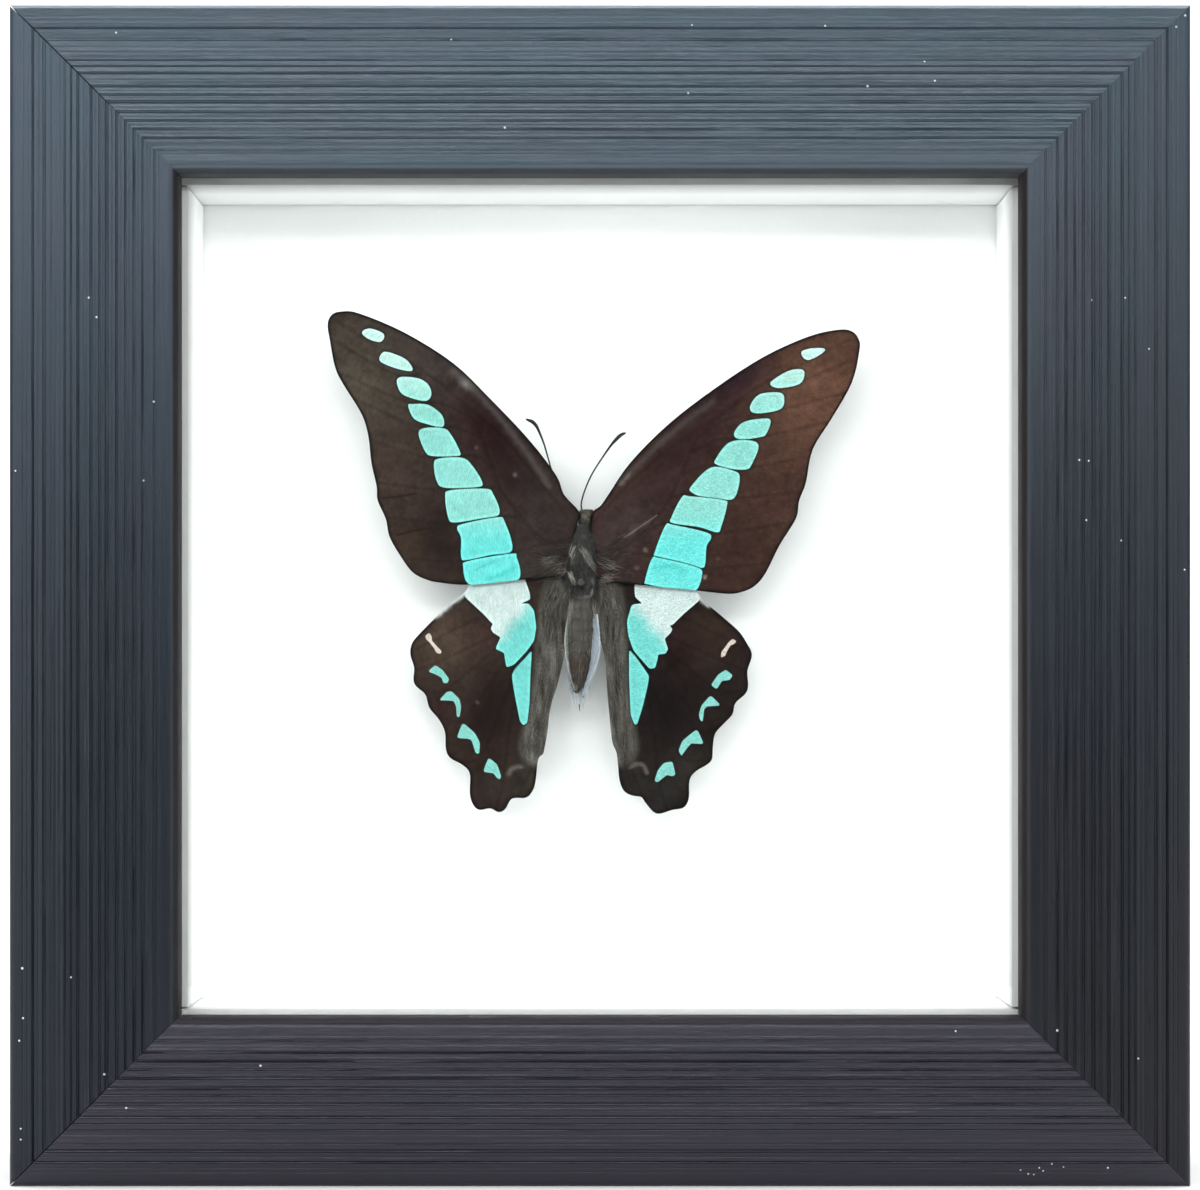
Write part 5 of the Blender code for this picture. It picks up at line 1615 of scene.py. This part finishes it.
def add_eyes(shape):
    """Two dark domed eyes at the sides of the head."""
    rings, sides = 8, 18
    half_width, half_height = 0.42, 0.5
    for side in (-1, 1):
        centre = np.array([0.62 + side * 0.62, BODY_DEPTH - 0.3, 7.95])
        points = [centre + [0.0, 0.0, half_height]]
        for ring in range(1, rings + 1):
            tilt = math.pi * ring / (rings + 1)
            for k in range(sides):
                turn = 2 * math.pi * k / sides
                points.append(centre + [
                    half_width * math.sin(tilt) * math.cos(turn),
                    half_height * math.sin(tilt) * math.sin(turn),
                    half_height * math.cos(tilt),
                ])
        points.append(centre - [0.0, 0.0, half_height])
        points = np.array(points)
        uv = np.full((len(points), 2), 0.735) + (points[:, [0, 2]] - centre[[0, 2]]) * 0.01
        shape.add(points, pointed_faces(rings, sides), rgb(26, 22, 20), points * 3.0, uv)


def random_colours(rng, count, dark, pale, power=1.6):
    """Each hair's own colour, most of them near the dark end, and its place between the two."""
    shade = rng.random(count) ** power
    return np.array(dark) + (np.array(pale) - np.array(dark)) * shade[:, None], shade


def skin_hairs(shape, rng, count, heights, arc, lean, length, thickness, dark, pale):
    """Down on the body's skin. lean: how the hairs lie, as (outwards, sideways, along the body)."""
    height = rng.uniform(*heights, count)
    angle = np.radians(rng.uniform(*arc, count))
    roots, out = body_point(height, angle)
    outward, sideways, along = lean
    direction = out * outward
    direction[:, 0] += sideways * np.cos(angle)
    direction[:, 2] += along
    direction += rng.normal(0, 0.22, (count, 3))
    colours, shade = random_colours(rng, count, dark, pale)
    tone = 1 + 0.3 * noise(roots[:, 0] * 2.2, height / 1.2, 81)
    bend = rng.normal(0, 0.14, (count, 3))
    lengths = rng.uniform(*length, count)
    colours = colours * tone[:, None]
    add_hairs(shape, roots - out * 0.08, direction, lengths, thickness, bend, colours, shade * 0.7)


def tuft_hairs(shape, rng, tuft, depth, rise):
    """One bunch of pale hairs from its root line to its tips, lying just over the surface."""
    root, tip, count, spread, colour = tuft
    root, tip = np.array(root), np.array(tip)
    run = tip - root
    start = root + run * rng.uniform(-0.1, 0.55, (count, 1)) + rng.normal(0, spread, (count, 2))
    roots = np.stack([start[:, 0], np.full(count, depth), start[:, 1]], axis=1)
    reach = np.linalg.norm(run)
    direction = np.tile([run[0], -rise * reach, run[1]], (count, 1))
    direction += rng.normal(0, 0.12 * reach, (count, 3))
    colours = np.array(colour) * rng.uniform(0.6, 1.1, (count, 1))
    bend = rng.normal(0, 0.08, (count, 3))
    bend[:, 1] = 0.04
    lengths = reach * rng.uniform(0.3, 0.75, count)
    add_hairs(shape, roots, direction, lengths, 0.026, bend, colours, rng.uniform(0.7, 1.0, count))


def skin_depth(x, height):
    """The depth of the body's front under a place in the wings' plane."""
    half_width, half_depth, shift = body_section(height)
    share = np.clip((x - shift) / half_width, -0.98, 0.98)
    return float(BODY_DEPTH - half_depth * math.sqrt(1 - share**2))


# Down on the skin: (count, heights, arc in degrees, lean, lengths, thickness, dark colour, pale colour)
SKIN_DOWN = [
    (1500, (-1.6, 6.6), (-20, 200), (0.35, 0.35, -0.8), (0.6, 1.3), 0.030,
     rgb(14, 13, 13), rgb(108, 106, 102)),
    (420, (-2.9, -0.4), (0, 180), (0.2, 0.2, -1.0), (0.4, 0.9), 0.028,
     rgb(40, 39, 38), rgb(126, 123, 118)),
    (1500, (-14.6, -2.6), (-40, 220), (0.16, 0.05, -1.0), (0.5, 1.1), 0.026,
     rgb(40, 36, 33), rgb(150, 144, 135)),
    (260, (6.3, 8.7), (-30, 210), (0.6, 0.4, 0.3), (0.25, 0.55), 0.026,
     rgb(48, 46, 42), rgb(124, 116, 102)),
]
FRINGE_HAIRS = 170


def add_fringe(shape, rng):
    """The pale torn fringe at the abdomen's tip, with three dark bristles in it."""
    x = rng.uniform(-1.8, 1.3, FRINGE_HAIRS)
    depth = rng.uniform(15.7, 16.6, FRINGE_HAIRS)
    roots = np.stack([x, depth, rng.uniform(-15.2, -12.2, FRINGE_HAIRS)], 1)
    direction = np.stack([(x + 0.25) * -0.10, np.zeros(FRINGE_HAIRS), np.full(FRINGE_HAIRS, -1.0)], 1)
    direction += rng.normal(0, 0.07, (FRINGE_HAIRS, 3))
    colours, shade = random_colours(rng, FRINGE_HAIRS, rgb(160, 172, 186), rgb(232, 238, 244), 0.7)
    lengths = rng.uniform(1.6, 3.4, FRINGE_HAIRS)
    bend = rng.normal(0, 0.05, (FRINGE_HAIRS, 3))
    add_hairs(shape, roots, direction, lengths, 0.028, bend, colours, 0.5 + shade * 0.5)
    bristles = np.array([[-0.28, 16.0, -16.9], [-0.22, 16.0, -17.0], [-0.30, 15.9, -17.0]])
    down = np.tile([0.05, 0.0, -1.0], (3, 1))
    dark = np.tile(rgb(40, 38, 40), (3, 1))
    add_hairs(shape, bristles, down, np.array([1.0, 1.1, 0.9]), 0.045, np.zeros((3, 3)), dark, np.zeros(3))


def add_body():
    rng = np.random.default_rng(5)
    shape = Shape()
    add_skin(shape)
    add_eyes(shape)
    for down in SKIN_DOWN:
        skin_hairs(shape, rng, *down)
    for tuft in TUFTS:
        (x, height), (x_tip, height_tip) = tuft[:2]
        depth = skin_depth((x + x_tip) / 2, (height + height_tip) / 2) - 0.12
        tuft_hairs(shape, rng, tuft, depth, 0.08)
    add_fringe(shape, rng)
    material = furry_material("body_down", 0.6, 0.15, 0.15)
    add_piece("downy_body", shape.mesh("butterfly_body"), material, "body", "butterfly_body")


def root_fan(rng, plan, count):
    """Roots and directions of the hairs that fan out from a forewing's root."""
    side = plan["side"]
    reach = rng.uniform(1.6, 6.0, count)
    turn = rng.uniform(-0.35, 0.75, count)
    x, z = side * (0.4 + reach * np.cos(turn)), 1.5 + reach * np.sin(turn)
    roots = np.stack([x, np.full(count, plan["depth"] - 0.02), z], 1)
    return roots, np.stack([side * np.cos(turn), np.full(count, -0.06), np.sin(turn)], 1)


def margin_band(rng, plan, count):
    """Roots and directions of the hairs that lie along a hindwing's inner margin."""
    edge = smooth_points(plan["margin"], 6, False)
    spot = rng.uniform(0, len(edge) - 1.001, count)
    index = spot.astype(int)
    part = (spot - index)[:, None]
    start = edge[index] * (1 - part) + edge[index + 1] * part
    run = edge[index + 1] - edge[index]
    run /= np.linalg.norm(run, axis=1, keepdims=True)
    start[:, 0] += plan["side"] * rng.uniform(-0.15, 2.3, count)
    roots = np.stack([start[:, 0], np.full(count, plan["depth"] - 0.03), start[:, 1]], 1)
    return roots, np.stack([run[:, 0], np.full(count, -0.05), run[:, 1]], 1)


def dress_wing(name, plan, shape):
    """The long hairs of the wing's root and inner margin, and the hindwings' pale folds."""
    rng = np.random.default_rng(plan["seed"])
    for wing, *tuft in WING_TUFTS:
        if wing == name:
            tuft_hairs(shape, rng, tuft, plan["depth"] - 0.02, 0.05)
    if "margin" in plan:
        count, layout = 760, margin_band
        dark, pale, length = rgb(62, 58, 54), rgb(156, 151, 143), (0.8, 2.0)
    else:
        count, layout = 240, root_fan
        dark, pale, length = rgb(44, 38, 37), rgb(112, 104, 99), (0.7, 1.7)
    roots, direction = layout(rng, plan, count)
    direction += rng.normal(0, 0.10, (count, 3)) * [1.0, 0.3, 1.0]
    colours, shade = random_colours(rng, count, dark, pale)
    bend = rng.normal(0, 0.10, (count, 3)) * [1.0, 0.1, 1.0]
    lengths = rng.uniform(*length, count)
    add_hairs(shape, roots, direction, lengths, 0.022, bend, colours, shade * 0.7)
    if name in FOLDS:
        add_fold(shape, *FOLDS[name])


FOLD_DEPTH = 15.3
FOLD_SHEET = 0.06
FOLD_COLUMNS = 9


def add_fold(shape, outer, inner, colour, edge_colour):
    """A thin pale fold beside the abdomen, bowed back towards the board between its edges."""
    outer, inner = smooth_points(outer, 6, False), smooth_points(inner, 6, False)
    across = np.linspace(0, 1, FOLD_COLUMNS)
    rows, last = len(outer), FOLD_COLUMNS - 1
    flat = (inner[:, None] + (outer - inner)[:, None] * across[None, :, None]).reshape(-1, 2)
    total = len(flat)
    u, v = flat.T
    share = np.tile(across, rows)
    depth = FOLD_DEPTH + 0.2 * np.sin(share * math.pi) + 0.06 * noise(u * 4, v * 1.5, 91)
    front = np.stack([u, depth, v], 1)
    colours = blend(np.tile(colour, (total, 1)), edge_colour, smoothstep(0.80, 1.0, share))
    colours = colours * (1 + 0.12 * noise(u * 5, v * 1.2, 92))[:, None]
    starts = [row * FOLD_COLUMNS + k for row in range(rows - 1) for k in range(last)]
    quads = [(a, a + 1, a + FOLD_COLUMNS + 1, a + FOLD_COLUMNS) for a in starts]
    border = [*range(FOLD_COLUMNS), *[row * FOLD_COLUMNS + last for row in range(1, rows)]]
    border += [(rows - 1) * FOLD_COLUMNS + k for k in range(last - 1, -1, -1)]
    border += [row * FOLD_COLUMNS for row in range(rows - 2, 0, -1)]
    faces = quads + [tuple(n + total for n in reversed(q)) for q in quads]
    faces += [(b, a, a + total, b + total) for a, b in zip(border, border[1:] + border[:1])]
    uv = np.stack([0.76 + 0.2 * share, 0.30 + 0.4 * np.repeat(np.linspace(0, 1, rows), FOLD_COLUMNS)], 1)
    grain = np.stack([v, u, np.full(total, 70.0)], 1)
    both = np.vstack([front, front + [0.0, FOLD_SHEET, 0.0]])
    shape.add(both, faces, np.tile(colours, (2, 1)), np.tile(grain, (2, 1)), np.tile(uv, (2, 1)))


def feeler_mesh(name, points):
    """A feeler swept along its points, finely ringed."""
    path = even_points(smooth_points(points, 5, False), 0.12, False)
    count = len(path)
    share = np.linspace(0, 1, count)
    depth = ANTENNA_DEPTH + 0.25 * np.sin(share * math.pi)
    radius = STALK_RADIUS * path[:, 2] * (1 + 0.07 * np.cos(np.arange(count) * math.pi))
    run = np.gradient(path[:, :2], axis=0)
    run /= np.linalg.norm(run, axis=1, keepdims=True)
    strips = []
    for k in range(FEELER_SIDES):
        turn = 2 * math.pi * k / FEELER_SIDES
        x = path[:, 0] + run[:, 1] * radius * math.cos(turn)
        z = path[:, 1] - run[:, 0] * radius * math.cos(turn)
        strips.append(np.stack([x, depth + radius * math.sin(turn), z], 1))
    vertices = np.stack(strips, axis=1).reshape(-1, 3)
    turn = np.tile(np.arange(FEELER_SIDES) / FEELER_SIDES, count)
    along = np.repeat(share, FEELER_SIDES)
    grain = np.stack([along * 16.0, turn, np.zeros(len(along))], 1)
    uv = np.stack([0.02 + 0.94 * turn, 0.02 + 0.96 * along], 1)
    shape = Shape()
    shape.add(vertices, tube_faces(count, FEELER_SIDES), rgb(22, 21, 22), grain, uv)
    mesh = shape.mesh(name)
    face_outwards(mesh)
    return mesh


def add_antennae():
    """Black ringed feelers, each swelling into a hooked club."""
    surface = Surface("feeler_shell", Specular_IOR_Level=0.2)
    grain = surface.vector("grain")
    ring = surface.noise(surface.scaled(grain, (5.0, 0.2, 1.0)), 1.0, 2.0)
    colour = surface.mix(surface.spread(ring, 0.4, 0.7), rgb(8, 8, 9), rgb(24, 23, 23))
    roughness = surface.spread(ring, 0.3, 0.7, 0.35, 0.55)
    material = surface.finish(colour, roughness, surface.bump(ring, 0.00001))
    for name, points in ANTENNAE.items():
        add_piece(f"ringed_{name}", feeler_mesh(name, points), material, "antenna", name)


add_camera()
add_lights()
add_world()
add_sweep()
bpy.context.scene.view_settings.view_transform = "Standard"
add_rails()
dress_box()
add_pin()
add_wings()
add_body()
add_antennae()
